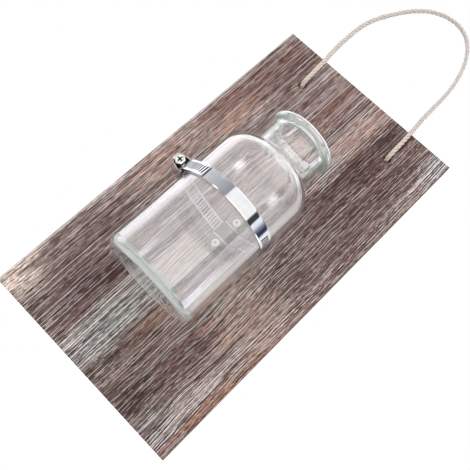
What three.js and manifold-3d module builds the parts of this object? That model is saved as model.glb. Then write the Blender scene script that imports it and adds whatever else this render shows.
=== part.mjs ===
// Hanging wall planter: a glass bottle held to a hanging board by a worm-drive band clamp.
//
// Millimetres. +Z is up and +X is to the right seen from the front. The wall is the plane y = 0 and the
// planter stands out from it toward -Y. The origin is the middle of the board's back face.

import * as THREE from 'three';
import { mergeVertices } from 'three/addons/utils/BufferGeometryUtils.js';
import Module from 'manifold-3d';

const wasm = await Module();
wasm.setup();

const DEGREE = Math.PI / 180;

// Gap kept between pieces that touch on the real object
const FIT_GAP = 0.3;

// Board
const BOARD_WIDTH = 175;
const BOARD_HEIGHT = 315;
const BOARD_THICKNESS = 15;
const BOARD_EASE = 0.8; // small chamfer round both faces

// Rope, threaded through two holes near the top edge and knotted in recesses behind the board.
// Each point is measured from the middle of the board's top front edge: right, toward the wall, up.
const ROPE_DIAMETER = 4;
const ROPE_SIDES = 10;
const ROPE_STEPS = 80;
const ROPE_ROUTE = [
  [-47, 6, -31.5],
  [-47, 2, -31.5],
  [-47, -1.5, -30],
  [-47.1, -3, -26.5],
  [-47.4, -3.2, -20],
  [-48.2, -2.8, -10],
  [-49.4, -2.4, 1],
  [-51, -1.6, 14],
  [-52, -0.3, 32],
  [-51.8, 1, 50],
  [-48.6, 2, 66],
  [-42, 3, 82],
  [-34, 4, 97],
  [-26.4, 4.6, 107],
  [-18, 5, 114],
  [-6, 5, 118.8],
  [7, 5, 118.8],
  [18.4, 5, 113.8],
  [27.4, 4.5, 104],
  [34.4, 3.6, 90.5],
  [39.6, 2.6, 73.5],
  [42.6, 1.4, 55.6],
  [43.4, 0.4, 41.4],
  [43.8, -0.8, 28],
  [44.6, -1.8, 14],
  [45.6, -2.4, 1],
  [46.4, -2.8, -10],
  [46.8, -3.2, -20],
  [47, -3, -26.5],
  [47, -1.5, -30],
  [47, 2, -31.5],
  [47, 6, -31.5],
];
const ROPE_HOLE_SLACK = 3; // how much wider the hole is than the rope
const ROPE_HOLE_EASE = 1; // rounded-off mouth of the hole at the front
const KNOT_DIAMETER = 11;
const KNOT_LENGTH = 8;
const KNOT_SINK = 0.7; // how far the knot stays below the board's back face
const RECESS_SLACK = 3; // how much wider the recess is than the knot

// Bottle, measured upward from its base
const BOTTLE_DIAMETER = 77;
const BOTTLE_WALL = 3;
const BOTTLE_BODY = 107; // height where the shoulder begins
const BOTTLE_BASE_CORNER = 6;
const BOTTLE_BASE_THICKNESS = 4.5;
const BOTTLE_PUNT_DIAMETER = 56; // hollow under the base
const BOTTLE_PUNT_RISE = 2;
const SHOULDER_RADIUS = 19;
const NECK_DIAMETER = 47;
const NECK_FILLET = 4;
const NECK_LENGTH = 20.4;
const LIP_DIAMETER = 56.4;
const LIP_HEIGHT = 6.5;
const BOTTLE_SIDES = 48;
const BOTTLE_DROP = 88.8; // bottle's base below the middle of the board

// Clamp band and its slots
const BAND_WIDTH = 10;
const BAND_THICKNESS = 0.7;
const BAND_DROP = 14.2; // middle of the band below the middle of the board
const SLOT_PITCH = 2.65; // also the lead of the worm
const SLOT_WIDTH = 1.3;
const SLOT_LENGTH = 6.6;
const SLOT_START = -61 * DEGREE; // right end of the slotted stretch, counted from the front
const RAMP_START = 146 * DEGREE; // where the band lifts off the bottle on its way to the housing
const RAMP_END = 108 * DEGREE;
const TAIL_BEND_START = 68 * DEGREE; // where the free end leans back onto the band
const TAIL_BEND_END = 50 * DEGREE;
const TAIL_TIP = 29 * DEGREE;
const TAIL_TIP_GAP = 0.5;
const ARC_STEP = 5 * DEGREE;

// Worm and housing
const WORM_ANGLE = 85 * DEGREE; // place of the worm round the bottle, counted from the front to the left
const WORM_TURNS = 1.75; // turns from tight to loose
const WORM_DIAMETER = 8;
const WORM_ROOT_DIAMETER = 5.6;
const JOURNAL_DIAMETER = 4;
const THREAD_CREST = 0.35;
const THREAD_FOOT = 1.5;
const THREAD_BITE = 0.25; // how deep the thread reaches into the slots
const THREAD_SIDES = 20;
const HOUSING_LENGTH = 14;
const HOUSING_THICKNESS = 0.8;
const HOUSING_END_WALL = 1;
const HOUSING_LIP_GAP = 5; // opening between the two lips folded under the housing
const PLATE_THICKNESS = 0.8;
const PLATE_OVERHANG = 1.6; // how far the plate shows past each end of the housing
const HEAD_ACROSS_FLATS = 7;
const HEAD_HEIGHT = 4.5;
const HEAD_RECESS_SPAN = 4.4;
const HEAD_RECESS_WIDTH = 1;
const HEAD_RECESS_DEPTH = 1.6;

// Strap that holds the band to the board, and its two screws
const STRAP_WIDTH = 15;
const STRAP_SHIFT = 3.3; // middle of the strap to the right of the bottle's axis
const STRAP_THICKNESS = 1.2;
const STRAP_SIDE_SLACK = 0.4; // room above and below the band
const STRAP_FLANGE = 9.6;
const BAND_BACK_CLEARANCE = 2; // room between the band and the board
const SCREW_DIAMETER = 3.2;
const SCREW_HEAD_DIAMETER = 6.6;
const SCREW_HEAD_HEIGHT = 2.2;
const SCREW_COVER = 3; // wood left behind the screw's tip
const SCREW_TIP = 3;
const SCREW_RECESS_SPAN = 3.6;
const SCREW_RECESS_WIDTH = 0.8;
const SCREW_RECESS_DEPTH = 1.2;

// Sizes that follow from those above
const ropeRadius = ROPE_DIAMETER / 2;
const bottleRadius = BOTTLE_DIAMETER / 2;
const bandInner = bottleRadius + FIT_GAP;
const bandOuter = bandInner + BAND_THICKNESS;
const bandMiddle = (bandInner + bandOuter) / 2;
const lipInner = bandOuter + FIT_GAP;
const lipOuter = lipInner + HOUSING_THICKNESS;
const plateInner = lipOuter + FIT_GAP;
const plateOuter = plateInner + PLATE_THICKNESS;
const tailInner = plateOuter + FIT_GAP;
const tailOuter = tailInner + BAND_THICKNESS;
const tailMiddle = (tailInner + tailOuter) / 2;
const wormRadius = WORM_DIAMETER / 2;
const wormOffset = tailOuter + wormRadius - THREAD_BITE;
const slotSlant = Math.atan(SLOT_PITCH / (Math.PI * WORM_DIAMETER));
const housingHalfAngle = Math.asin(HOUSING_LENGTH / 2 / tailMiddle);
const plateHalfAngle = Math.asin((HOUSING_LENGTH / 2 + PLATE_OVERHANG) / plateOuter);
const tailTravel = (WORM_TURNS * SLOT_PITCH) / tailOuter;
const loopEnd = WORM_ANGLE + housingHalfAngle - FIT_GAP / tailMiddle;
const tailEnd = loopEnd - tailTravel - FIT_GAP / tailInner;
const fixedEnd = WORM_ANGLE + housingHalfAngle;
const strapRise = FIT_GAP + BAND_THICKNESS + BAND_BACK_CLEARANCE;
const strapOpening = BAND_WIDTH + 2 * STRAP_SIDE_SLACK;
const strapBack = bottleRadius + FIT_GAP + STRAP_THICKNESS;
const screwOffset = strapOpening / 2 + STRAP_THICKNESS + STRAP_FLANGE / 2;
const screwSeat = STRAP_THICKNESS + 2 * FIT_GAP;
const bottleAxisY = -(BOARD_THICKNESS + strapRise + strapBack);
const ropeHoleRadius = (ROPE_DIAMETER + ROPE_HOLE_SLACK) / 2;
const recessDepth = KNOT_SINK + KNOT_LENGTH + FIT_GAP;

// Materials
const wood = new THREE.MeshStandardMaterial({ color: 0x85695c, roughness: 0.75, metalness: 0 });
const jute = new THREE.MeshStandardMaterial({ color: 0xd3bfa8, roughness: 0.95, metalness: 0 });
const steel = new THREE.MeshStandardMaterial({ color: 0xc9cacd, roughness: 0.22, metalness: 1 });
const castSteel = new THREE.MeshStandardMaterial({ color: 0xb6b4ae, roughness: 0.4, metalness: 1 });
const glass = new THREE.MeshStandardMaterial({
  color: 0xe6f0ec,
  roughness: 0.04,
  metalness: 0,
  transparent: true,
  opacity: 0.35,
});

// Turns a closed geometry into a solid that can be cut and joined.
function solid(geometry) {
  const bare = geometry.clone();
  bare.deleteAttribute('normal');
  bare.deleteAttribute('uv');
  const merged = mergeVertices(bare, 1e-4);
  const index = merged.index.array;
  const triangles = [];
  for (let i = 0; i < index.length; i += 3) {
    const [a, b, c] = index.subarray(i, i + 3);
    if (a !== b && b !== c && c !== a) triangles.push(a, b, c);
  }
  return new wasm.Manifold(
    new wasm.Mesh({
      numProp: 3,
      vertProperties: new Float32Array(merged.attributes.position.array),
      triVerts: new Uint32Array(triangles),
    }),
  );
}

// Turns a solid back into a geometry.
function geometryOf(body) {
  const mesh = body.getMesh();
  const geometry = new THREE.BufferGeometry();
  geometry.setAttribute('position', new THREE.BufferAttribute(mesh.vertProperties, 3));
  geometry.setIndex(new THREE.BufferAttribute(mesh.triVerts, 1));
  geometry.computeVertexNormals();
  return geometry;
}

// Cuts a list of geometries out of one geometry.
function cut(base, tools) {
  let body = solid(base);
  for (const tool of tools) body = body.subtract(solid(tool));
  return geometryOf(body);
}

// A cylinder whose axis is Z, centred on the origin.
function zCylinder(radius, length, sides) {
  return new THREE.CylinderGeometry(radius, radius, length, sides).rotateX(Math.PI / 2);
}

// A turned body whose axis is Z, from [radius, height] points that run up the outside.
function turned(profile, sides) {
  const points = profile.map(([radius, height]) => new THREE.Vector2(radius, height));
  return new THREE.LatheGeometry(points, sides).rotateX(Math.PI / 2);
}

// Points of an arc as [radius, height] pairs, both ends included.
function arc(centreX, centreY, radius, from, to, steps) {
  const points = [];
  for (let i = 0; i <= steps; i += 1) {
    const angle = from + ((to - from) * i) / steps;
    points.push([centreX + radius * Math.cos(angle), centreY + radius * Math.sin(angle)]);
  }
  return points;
}

// A flat outline extruded along its third axis: outline x, outline y and depth go along three axes.
function extruded(shape, depth, xAxis, yAxis) {
  const geometry = new THREE.ExtrudeGeometry(shape, { depth, bevelEnabled: false });
  const zAxis = new THREE.Vector3().crossVectors(xAxis, yAxis);
  return geometry.applyMatrix4(new THREE.Matrix4().makeBasis(xAxis, yAxis, zAxis));
}

const RIGHT = new THREE.Vector3(1, 0, 0);
const UP = new THREE.Vector3(0, 0, 1);
const WALLWARD = new THREE.Vector3(0, 1, 0);

// The closed outline of a strip of even thickness along a line of points.
function ribbon(line, thickness) {
  const left = [];
  const right = [];
  line.forEach((point, i) => {
    const before = line[Math.max(i - 1, 0)];
    const after = line[Math.min(i + 1, line.length - 1)];
    const inward = point.clone().sub(before).normalize();
    const outward = after.clone().sub(point).normalize();
    if (i === 0) inward.copy(outward);
    if (i === line.length - 1) outward.copy(inward);
    const along = inward.clone().add(outward).normalize();
    const reach = thickness / 2 / along.dot(inward);
    const side = new THREE.Vector2(-along.y, along.x).multiplyScalar(reach);
    left.push(point.clone().add(side));
    right.push(point.clone().sub(side));
  });
  return new THREE.Shape([...right, ...left.reverse()]);
}

// A point round the bottle's axis: the angle runs from the front to the left.
function around(radius, angle) {
  return new THREE.Vector2(-radius * Math.sin(angle), -radius * Math.cos(angle));
}

// Points round the bottle between two angles, with the radius given as a function of the angle.
function sweep(from, to, radiusAt) {
  const steps = Math.max(1, Math.ceil(Math.abs(to - from) / ARC_STEP));
  const points = [];
  for (let i = 0; i <= steps; i += 1) {
    const angle = from + ((to - from) * i) / steps;
    points.push(around(radiusAt(angle), angle));
  }
  return points;
}

// An even change from one radius to another between two angles.
function blend(fromAngle, toAngle, fromRadius, toRadius) {
  return (angle) => {
    const share = THREE.MathUtils.smoothstep((angle - fromAngle) / (toAngle - fromAngle), 0, 1);
    return fromRadius + (toRadius - fromRadius) * share;
  };
}

// A slot cutter at one place on a strip, leaning along the strip as it rises.
function slotCutter(place, along) {
  const cutter = new THREE.BoxGeometry(SLOT_WIDTH, 6 * BAND_THICKNESS, SLOT_LENGTH);
  cutter.rotateY(slotSlant);
  cutter.rotateZ(Math.atan2(along.y, along.x));
  return cutter.translate(place.x, place.y, 0);
}

// A strip of the clamp's band, centred in height on the clamp's middle plane.
function bandStrip(line) {
  const geometry = extruded(ribbon(line, BAND_THICKNESS), BAND_WIDTH, RIGHT, WALLWARD);
  return geometry.translate(0, 0, -BAND_WIDTH / 2);
}

// A cross-shaped recess cutter that stands on the plane z = top and reaches down into it.
function crossCutters(span, width, depth, top) {
  const reach = depth + FIT_GAP;
  const bars = [new THREE.BoxGeometry(span, width, reach), new THREE.BoxGeometry(width, span, reach)];
  return bars.map((bar) => bar.translate(0, 0, top - depth + reach / 2));
}

// Board: eased block with rope holes, recesses for the knots and pilot holes for the screws
function boardGeometry() {
  const halfWidth = BOARD_WIDTH / 2;
  const halfHeight = BOARD_HEIGHT / 2;
  const outline = new THREE.Shape([
    new THREE.Vector2(-halfWidth, -halfHeight),
    new THREE.Vector2(halfWidth, -halfHeight),
    new THREE.Vector2(halfWidth, halfHeight),
    new THREE.Vector2(-halfWidth, halfHeight),
  ]);
  const block = new THREE.ExtrudeGeometry(outline, {
    depth: BOARD_THICKNESS - 2 * BOARD_EASE,
    bevelThickness: BOARD_EASE,
    bevelSize: BOARD_EASE,
    bevelOffset: -BOARD_EASE,
    bevelSegments: 1,
  });
  block.translate(0, 0, BOARD_EASE).rotateX(Math.PI / 2);

  const tools = [];
  const through = 2 * BOARD_THICKNESS;
  const mouthRadius = ropeHoleRadius + 2 * ROPE_HOLE_EASE;
  const recessRadius = (KNOT_DIAMETER + RECESS_SLACK) / 2;
  for (const end of ropeEnds) {
    const hole = new THREE.CylinderGeometry(ropeHoleRadius, ropeHoleRadius, through, 24);
    tools.push(hole.translate(end.x, -BOARD_THICKNESS / 2, end.z));
    const mouth = new THREE.CylinderGeometry(ropeHoleRadius, mouthRadius, 2 * ROPE_HOLE_EASE, 24);
    tools.push(mouth.translate(end.x, -BOARD_THICKNESS, end.z));
    const recess = new THREE.CylinderGeometry(recessRadius, recessRadius, 2 * recessDepth, 28);
    tools.push(recess.translate(end.x, 0, end.z));
  }
  const pilotRadius = SCREW_DIAMETER / 2 + FIT_GAP;
  const pilotDepth = BOARD_THICKNESS - SCREW_COVER + FIT_GAP;
  for (const side of [-1, 1]) {
    const pilot = new THREE.CylinderGeometry(pilotRadius, pilotRadius, 2 * pilotDepth, 16);
    tools.push(pilot.translate(STRAP_SHIFT, -BOARD_THICKNESS, side * screwOffset - BAND_DROP));
  }
  return cut(block, tools);
}

// Rope: one tube from knot to knot
const ropePoints = ROPE_ROUTE.map(
  ([x, y, z]) => new THREE.Vector3(x, y - BOARD_THICKNESS, z + BOARD_HEIGHT / 2),
);
const ropeEnds = [ropePoints[0], ropePoints[ropePoints.length - 1]];

function ropeGeometry() {
  const section = [];
  for (let i = 0; i < ROPE_SIDES; i += 1) {
    const angle = (2 * Math.PI * i) / ROPE_SIDES;
    section.push(new THREE.Vector2(ropeRadius * Math.cos(angle), ropeRadius * Math.sin(angle)));
  }
  const path = new THREE.CatmullRomCurve3(ropePoints, false, 'centripetal');
  return new THREE.ExtrudeGeometry(new THREE.Shape(section), {
    steps: ROPE_STEPS,
    extrudePath: path,
    bevelEnabled: false,
  });
}

function knotGeometry() {
  const ball = new THREE.SphereGeometry(0.5, 16, 10);
  return ball.scale(KNOT_DIAMETER, KNOT_LENGTH, KNOT_DIAMETER);
}

// Bottle: one wall of even thickness turned round the axis, closed by the base
function bottleGeometry() {
  const neckRadius = NECK_DIAMETER / 2;
  const shoulderX = bottleRadius - SHOULDER_RADIUS;
  const filletX = neckRadius + NECK_FILLET;
  const centreSpan = SHOULDER_RADIUS + NECK_FILLET;
  const filletZ = BOTTLE_BODY + Math.sqrt(centreSpan ** 2 - (filletX - shoulderX) ** 2);
  const meeting = Math.atan2(filletZ - BOTTLE_BODY, filletX - shoulderX);
  const lipBottom = filletZ + NECK_LENGTH;
  const lipTop = lipBottom + LIP_HEIGHT;
  const lipRound = LIP_HEIGHT / 2;
  const lipX = LIP_DIAMETER / 2 - lipRound;
  const lipZ = lipTop - lipRound;
  const puntRadius = BOTTLE_PUNT_DIAMETER / 2;
  const footRadius = bottleRadius - BOTTLE_BASE_CORNER;
  const innerCorner = BOTTLE_BASE_CORNER - BOTTLE_WALL / 2;
  const innerFoot = bottleRadius - BOTTLE_WALL - innerCorner;
  const floor = BOTTLE_BASE_THICKNESS;
  const rim = BOTTLE_WALL / 2;
  const crown = (share) => BOTTLE_PUNT_RISE * (1 - share ** 2);
  const profile = [
    [0, crown(0)],
    [puntRadius / 2, crown(1 / 2)],
    [puntRadius, 0],
    ...arc(footRadius, BOTTLE_BASE_CORNER, BOTTLE_BASE_CORNER, -Math.PI / 2, 0, 4),
    ...arc(shoulderX, BOTTLE_BODY, SHOULDER_RADIUS, 0, meeting, 7),
    ...arc(filletX, filletZ, NECK_FILLET, meeting + Math.PI, Math.PI, 3).slice(1),
    [neckRadius, lipBottom - lipRound / 2],
    ...arc(lipX, lipZ, lipRound, -Math.PI / 2, Math.PI / 2, 5),
    ...arc(neckRadius - BOTTLE_WALL + rim, lipTop - rim, rim, Math.PI / 2, Math.PI, 2),
    ...arc(filletX, filletZ, NECK_FILLET + BOTTLE_WALL, Math.PI, meeting + Math.PI, 3),
    ...arc(shoulderX, BOTTLE_BODY, SHOULDER_RADIUS - BOTTLE_WALL, meeting, 0, 7).slice(1),
    ...arc(innerFoot, floor + innerCorner, innerCorner, 0, -Math.PI / 2, 4),
    [puntRadius / 2, floor + crown(1 / 2)],
    [0, floor + crown(0)],
  ];
  return turned(profile, BOTTLE_SIDES);
}

// Clamp band: plain across the front, slotted round the back, over the strap and up to the housing
const flatMiddle = strapBack + FIT_GAP + BAND_THICKNESS / 2;
const flatRight = STRAP_SHIFT + STRAP_WIDTH / 2 + FIT_GAP;
const flatLeft = STRAP_SHIFT - STRAP_WIDTH / 2 - FIT_GAP;
const turnOff = (side) => Math.acos(bandMiddle / Math.hypot(side, flatMiddle));
const leaveRight = Math.atan2(flatRight, flatMiddle) + turnOff(flatRight) - Math.PI;
const leaveLeft = Math.atan2(flatLeft, flatMiddle) - turnOff(flatLeft) + Math.PI;

function bandGeometry() {
  const line = [
    ...sweep(fixedEnd, leaveRight, () => bandMiddle),
    new THREE.Vector2(flatRight, flatMiddle),
    new THREE.Vector2(flatLeft, flatMiddle),
    ...sweep(leaveLeft, RAMP_START, () => bandMiddle),
    ...sweep(RAMP_START, RAMP_END, blend(RAMP_START, RAMP_END, bandMiddle, tailMiddle)).slice(1),
    ...sweep(RAMP_END, loopEnd, () => tailMiddle).slice(1),
  ];
  const stretch = line.slice(1).map((point, i) => point.distanceTo(line[i]));
  const total = stretch.reduce((sum, length) => sum + length, 0);
  const plain = (fixedEnd - SLOT_START) * bandMiddle;
  const cutters = [];
  for (let place = total - SLOT_PITCH / 2; place > plain; place -= SLOT_PITCH) {
    let rest = place;
    let step = 0;
    while (rest > stretch[step]) {
      rest -= stretch[step];
      step += 1;
    }
    const along = line[step + 1].clone().sub(line[step]).normalize();
    cutters.push(slotCutter(line[step].clone().addScaledVector(along, rest), along));
  }
  return cut(bandStrip(line), cutters);
}

// Free end of the band: threaded under the worm and out over the front of the band
function tailGeometry() {
  const tipMiddle = bandOuter + TAIL_TIP_GAP + BAND_THICKNESS / 2;
  const line = [
    ...sweep(tailEnd, TAIL_BEND_START, () => tailMiddle),
    ...sweep(
      TAIL_BEND_START,
      TAIL_BEND_END,
      blend(TAIL_BEND_START, TAIL_BEND_END, tailMiddle, tipMiddle),
    ).slice(1),
    ...sweep(TAIL_BEND_END, TAIL_TIP, () => tipMiddle).slice(1),
  ];
  const cutters = [];
  const slotAngle = SLOT_PITCH / tailOuter;
  const radiusAt = blend(TAIL_BEND_START, TAIL_BEND_END, tailMiddle, tipMiddle);
  const hidden = Math.round((tailEnd - WORM_ANGLE) / slotAngle); // slots behind the middle of the worm
  const first = WORM_ANGLE + hidden * slotAngle;
  for (let angle = first; angle > TAIL_TIP + slotAngle / 2; angle -= slotAngle) {
    cutters.push(slotCutter(around(radiusAt(angle), angle), around(1, angle - Math.PI / 2)));
  }
  return cut(bandStrip(line), cutters);
}

// Housing, in a frame whose -X points out through the worm and whose -Y runs toward the screw's head
const OUTWARD = new THREE.Vector3(-1, 0, 0);
const HEADWARD = new THREE.Vector3(0, -1, 0);

// Bell-shaped section: straight walls past the band, leaning in to an arch over the worm.
function bell(halfWidth, foot, waist, archRadius) {
  const points = [
    [halfWidth, foot],
    [halfWidth, waist],
    ...arc(0, wormOffset, archRadius, 0, Math.PI, 12),
    [-halfWidth, waist],
    [-halfWidth, foot],
  ];
  return new THREE.Shape(points.map(([x, y]) => new THREE.Vector2(x, y)));
}

// A section extruded along the worm, centred on the middle of the housing.
function alongWorm(shape, length) {
  return extruded(shape, length, UP, OUTWARD).translate(0, length / 2, 0);
}

function housingGeometry() {
  const insideHalf = BAND_WIDTH / 2 + FIT_GAP;
  const outsideHalf = insideHalf + HOUSING_THICKNESS;
  const chamberRadius = wormRadius + FIT_GAP;
  const channelTop = tailOuter + FIT_GAP;
  const past = HOUSING_LENGTH + 4 * HOUSING_END_WALL;
  const foot = bandInner;
  const tall = 3 * BAND_WIDTH;

  const body = alongWorm(bell(outsideHalf, foot, channelTop, chamberRadius + HOUSING_THICKNESS), HOUSING_LENGTH);
  const chamberLength = HOUSING_LENGTH - 2 * HOUSING_END_WALL;
  const chamber = alongWorm(bell(insideHalf, tailInner, channelTop, chamberRadius), chamberLength);
  const channelShape = new THREE.Shape([
    new THREE.Vector2(insideHalf, foot),
    new THREE.Vector2(insideHalf, channelTop),
    new THREE.Vector2(-insideHalf, channelTop),
    new THREE.Vector2(-insideHalf, foot),
  ]);
  const channel = cut(alongWorm(channelShape, past), [zCylinder(lipOuter, tall, 180)]);
  const bore = new THREE.CylinderGeometry(
    JOURNAL_DIAMETER / 2 + FIT_GAP,
    JOURNAL_DIAMETER / 2 + FIT_GAP,
    past,
    20,
  );
  bore.translate(-wormOffset, 0, 0);
  const lipGap = new THREE.BoxGeometry(2 * (lipOuter - foot), past, HOUSING_LIP_GAP);
  lipGap.translate(-lipOuter, 0, 0);
  return cut(body, [zCylinder(lipInner, tall, 180), chamber, channel, bore, lipGap]);
}

// Plate between the lips and the free end of the band
function plateGeometry() {
  const middle = (plateInner + plateOuter) / 2;
  const quarter = Math.PI / 2;
  const line = sweep(quarter + plateHalfAngle, quarter - plateHalfAngle, () => middle);
  const strip = extruded(ribbon(line, PLATE_THICKNESS), BAND_WIDTH, RIGHT, WALLWARD);
  return strip.translate(0, 0, -BAND_WIDTH / 2);
}

// One right-handed thread round the Z axis, closed at both ends, with a crest at angle pi and height 0.
function threadGeometry(turns) {
  const flank = (THREAD_FOOT - THREAD_CREST) / 2;
  const root = WORM_ROOT_DIAMETER / 2;
  const ring = [
    [root, -SLOT_PITCH + THREAD_FOOT / 2],
    [root, -THREAD_FOOT / 2],
    [wormRadius, -THREAD_FOOT / 2 + flank],
    [wormRadius, THREAD_FOOT / 2 - flank],
  ];
  const rows = ring.length * turns;
  const start = -(Math.floor(turns / 2) + 0.5) * SLOT_PITCH;
  const positions = [];
  const at = (row, side) => {
    const turn = Math.floor(row / ring.length);
    const [radius, offset] = ring[row % ring.length];
    const angle = (2 * Math.PI * side) / THREAD_SIDES;
    const height = start + SLOT_PITCH * (turn + side / THREAD_SIDES) + offset;
    return [radius * Math.cos(angle), radius * Math.sin(angle), height];
  };
  const triangle = (a, b, c) => positions.push(...a, ...b, ...c);
  for (let side = 0; side < THREAD_SIDES; side += 1) {
    for (let row = 0; row < rows; row += 1) {
      triangle(at(row, side), at(row, side + 1), at(row + 1, side));
      triangle(at(row + 1, side), at(row, side + 1), at(row + 1, side + 1));
    }
  }
  const below = [0, 0, at(0, 0)[2]];
  const above = [0, 0, at(rows, THREAD_SIDES)[2]];
  for (let side = 0; side < THREAD_SIDES; side += 1) {
    triangle(below, at(0, side + 1), at(0, side));
    triangle(above, at(rows, side), at(rows, side + 1));
  }
  for (let row = 0; row < ring.length; row += 1) {
    triangle(below, at(row, 0), at(row + 1, 0));
    triangle(above, at(rows + row + 1, 0), at(rows + row, 0));
  }
  const geometry = new THREE.BufferGeometry();
  geometry.setAttribute('position', new THREE.Float32BufferAttribute(positions, 3));
  return geometry;
}

// Worm screw, along Z with its head up: journals in the end walls, thread between them, hex head
function wormGeometry() {
  const half = HOUSING_LENGTH / 2;
  const threadLength = HOUSING_LENGTH - 2 * HOUSING_END_WALL - 2 * FIT_GAP;
  const turns = Math.ceil(threadLength / SLOT_PITCH) + 3;
  const window = zCylinder(WORM_DIAMETER, threadLength, 24);
  const thread = solid(threadGeometry(turns)).intersect(solid(window));
  const headBottom = half + FIT_GAP;
  const headTop = headBottom + HEAD_HEIGHT;
  const shaft = zCylinder(JOURNAL_DIAMETER / 2, half + headBottom + HEAD_HEIGHT / 2, 20);
  shaft.translate(0, 0, (headBottom + HEAD_HEIGHT / 2 - half) / 2);
  const headRadius = HEAD_ACROSS_FLATS / 2 / Math.cos(Math.PI / 6);
  const head = zCylinder(headRadius, HEAD_HEIGHT, 6).translate(0, 0, headBottom + HEAD_HEIGHT / 2);
  const whole = thread.add(solid(shaft)).add(solid(head));
  return cut(
    geometryOf(whole),
    crossCutters(HEAD_RECESS_SPAN, HEAD_RECESS_WIDTH, HEAD_RECESS_DEPTH, headTop),
  );
}

// Strap: flat flanges on the board and a raised bridge that the band passes behind
function strapGeometry() {
  const half = STRAP_THICKNESS / 2;
  const footLine = FIT_GAP + half;
  const bridgeLine = strapRise + half;
  const wall = strapOpening / 2 + half;
  const tip = strapOpening / 2 + STRAP_THICKNESS + STRAP_FLANGE;
  const line = [
    [-tip, footLine],
    [-wall, footLine],
    [-wall, bridgeLine],
    [wall, bridgeLine],
    [wall, footLine],
    [tip, footLine],
  ].map(([up, out]) => new THREE.Vector2(up, out));
  const strip = extruded(ribbon(line, STRAP_THICKNESS), STRAP_WIDTH, UP, HEADWARD);
  strip.translate(-STRAP_WIDTH / 2, 0, 0);
  const holes = [-1, 1].map((side) => {
    const radius = SCREW_DIAMETER / 2 + FIT_GAP;
    const hole = new THREE.CylinderGeometry(radius, radius, 4 * STRAP_THICKNESS, 20);
    return hole.translate(0, -footLine, side * screwOffset);
  });
  return cut(strip, holes);
}

// Screw, along Z with its head up and the underside of the head at z = 0
function screwGeometry() {
  const headRadius = SCREW_HEAD_DIAMETER / 2;
  const shankRadius = SCREW_DIAMETER / 2;
  const length = screwSeat + BOARD_THICKNESS - SCREW_COVER;
  const dome = [];
  for (let i = 0; i <= 5; i += 1) {
    const angle = (Math.PI / 2) * (i / 5);
    dome.push([headRadius * Math.cos(angle), SCREW_HEAD_HEIGHT * (0.3 + 0.7 * Math.sin(angle))]);
  }
  dome[dome.length - 1][0] = 0;
  const profile = [
    [0, -length],
    [shankRadius, -length + SCREW_TIP],
    [shankRadius, 0],
    [headRadius, 0],
    ...dome,
  ];
  return cut(
    turned(profile, 24),
    crossCutters(SCREW_RECESS_SPAN, SCREW_RECESS_WIDTH, SCREW_RECESS_DEPTH, SCREW_HEAD_HEIGHT),
  );
}

// Puts one named piece into a group.
function add(group, name, geometry, material) {
  const mesh = new THREE.Mesh(geometry, material.clone());
  mesh.name = name;
  group.add(mesh);
  return mesh;
}

const planter = new THREE.Group();

// Board and rope
add(planter, 'backing_board', boardGeometry(), wood);
add(planter, 'rope_loop', ropeGeometry(), jute);
['rope_knot_left', 'rope_knot_right'].forEach((name, i) => {
  const knot = add(planter, name, knotGeometry(), jute);
  knot.position.set(ropeEnds[i].x, -KNOT_SINK - KNOT_LENGTH / 2, ropeEnds[i].z);
});

// Strap and its screws, on the front of the board
const strapGroup = new THREE.Group();
strapGroup.position.set(STRAP_SHIFT, -BOARD_THICKNESS, -BAND_DROP);
planter.add(strapGroup);
add(strapGroup, 'band_saddle', strapGeometry(), steel);
['saddle_screw_lower', 'saddle_screw_upper'].forEach((name, i) => {
  const screw = add(strapGroup, name, screwGeometry(), steel);
  screw.rotation.x = Math.PI / 2;
  screw.position.set(0, -screwSeat, (2 * i - 1) * screwOffset);
});

// Clamp, centred on the bottle's axis at the height of the band
const clampGroup = new THREE.Group();
clampGroup.position.set(0, bottleAxisY, -BAND_DROP);
planter.add(clampGroup);
add(clampGroup, 'clamp_band', bandGeometry(), steel);
add(clampGroup, 'band_tail', tailGeometry(), steel);

// Housing, plate and worm, turned to their place round the bottle
const housingGroup = new THREE.Group();
housingGroup.rotation.z = Math.PI / 2 - WORM_ANGLE;
clampGroup.add(housingGroup);
add(housingGroup, 'worm_housing', housingGeometry(), castSteel);
add(housingGroup, 'housing_plate', plateGeometry(), steel);
const worm = add(housingGroup, 'worm_screw', wormGeometry(), castSteel);
const wormSide = new THREE.Vector3().crossVectors(HEADWARD, OUTWARD);
worm.quaternion.setFromRotationMatrix(new THREE.Matrix4().makeBasis(OUTWARD, wormSide, HEADWARD));
worm.position.set(-wormOffset, 0, 0);

// Bottle
const bottle = add(planter, 'glass_bottle', bottleGeometry(), glass);
bottle.position.set(0, bottleAxisY, -BOTTLE_DROP);

export default planter;
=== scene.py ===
"""Finished look of a hanging wall planter.

A clear glass bottle stands in a worm-drive band clamp on a weathered board, which hangs by a jute rope.
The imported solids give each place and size, and the classes below dress them in finer meshes and finishes.
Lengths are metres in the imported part's frame: +Z up, the wall at y = 0 and the planter toward -Y.
"""

import logging
import math
import random
from collections.abc import Iterable, Sequence
from dataclasses import dataclass, field
from enum import Enum

import bmesh
import bpy
from mathutils import Matrix, Vector, noise


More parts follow.
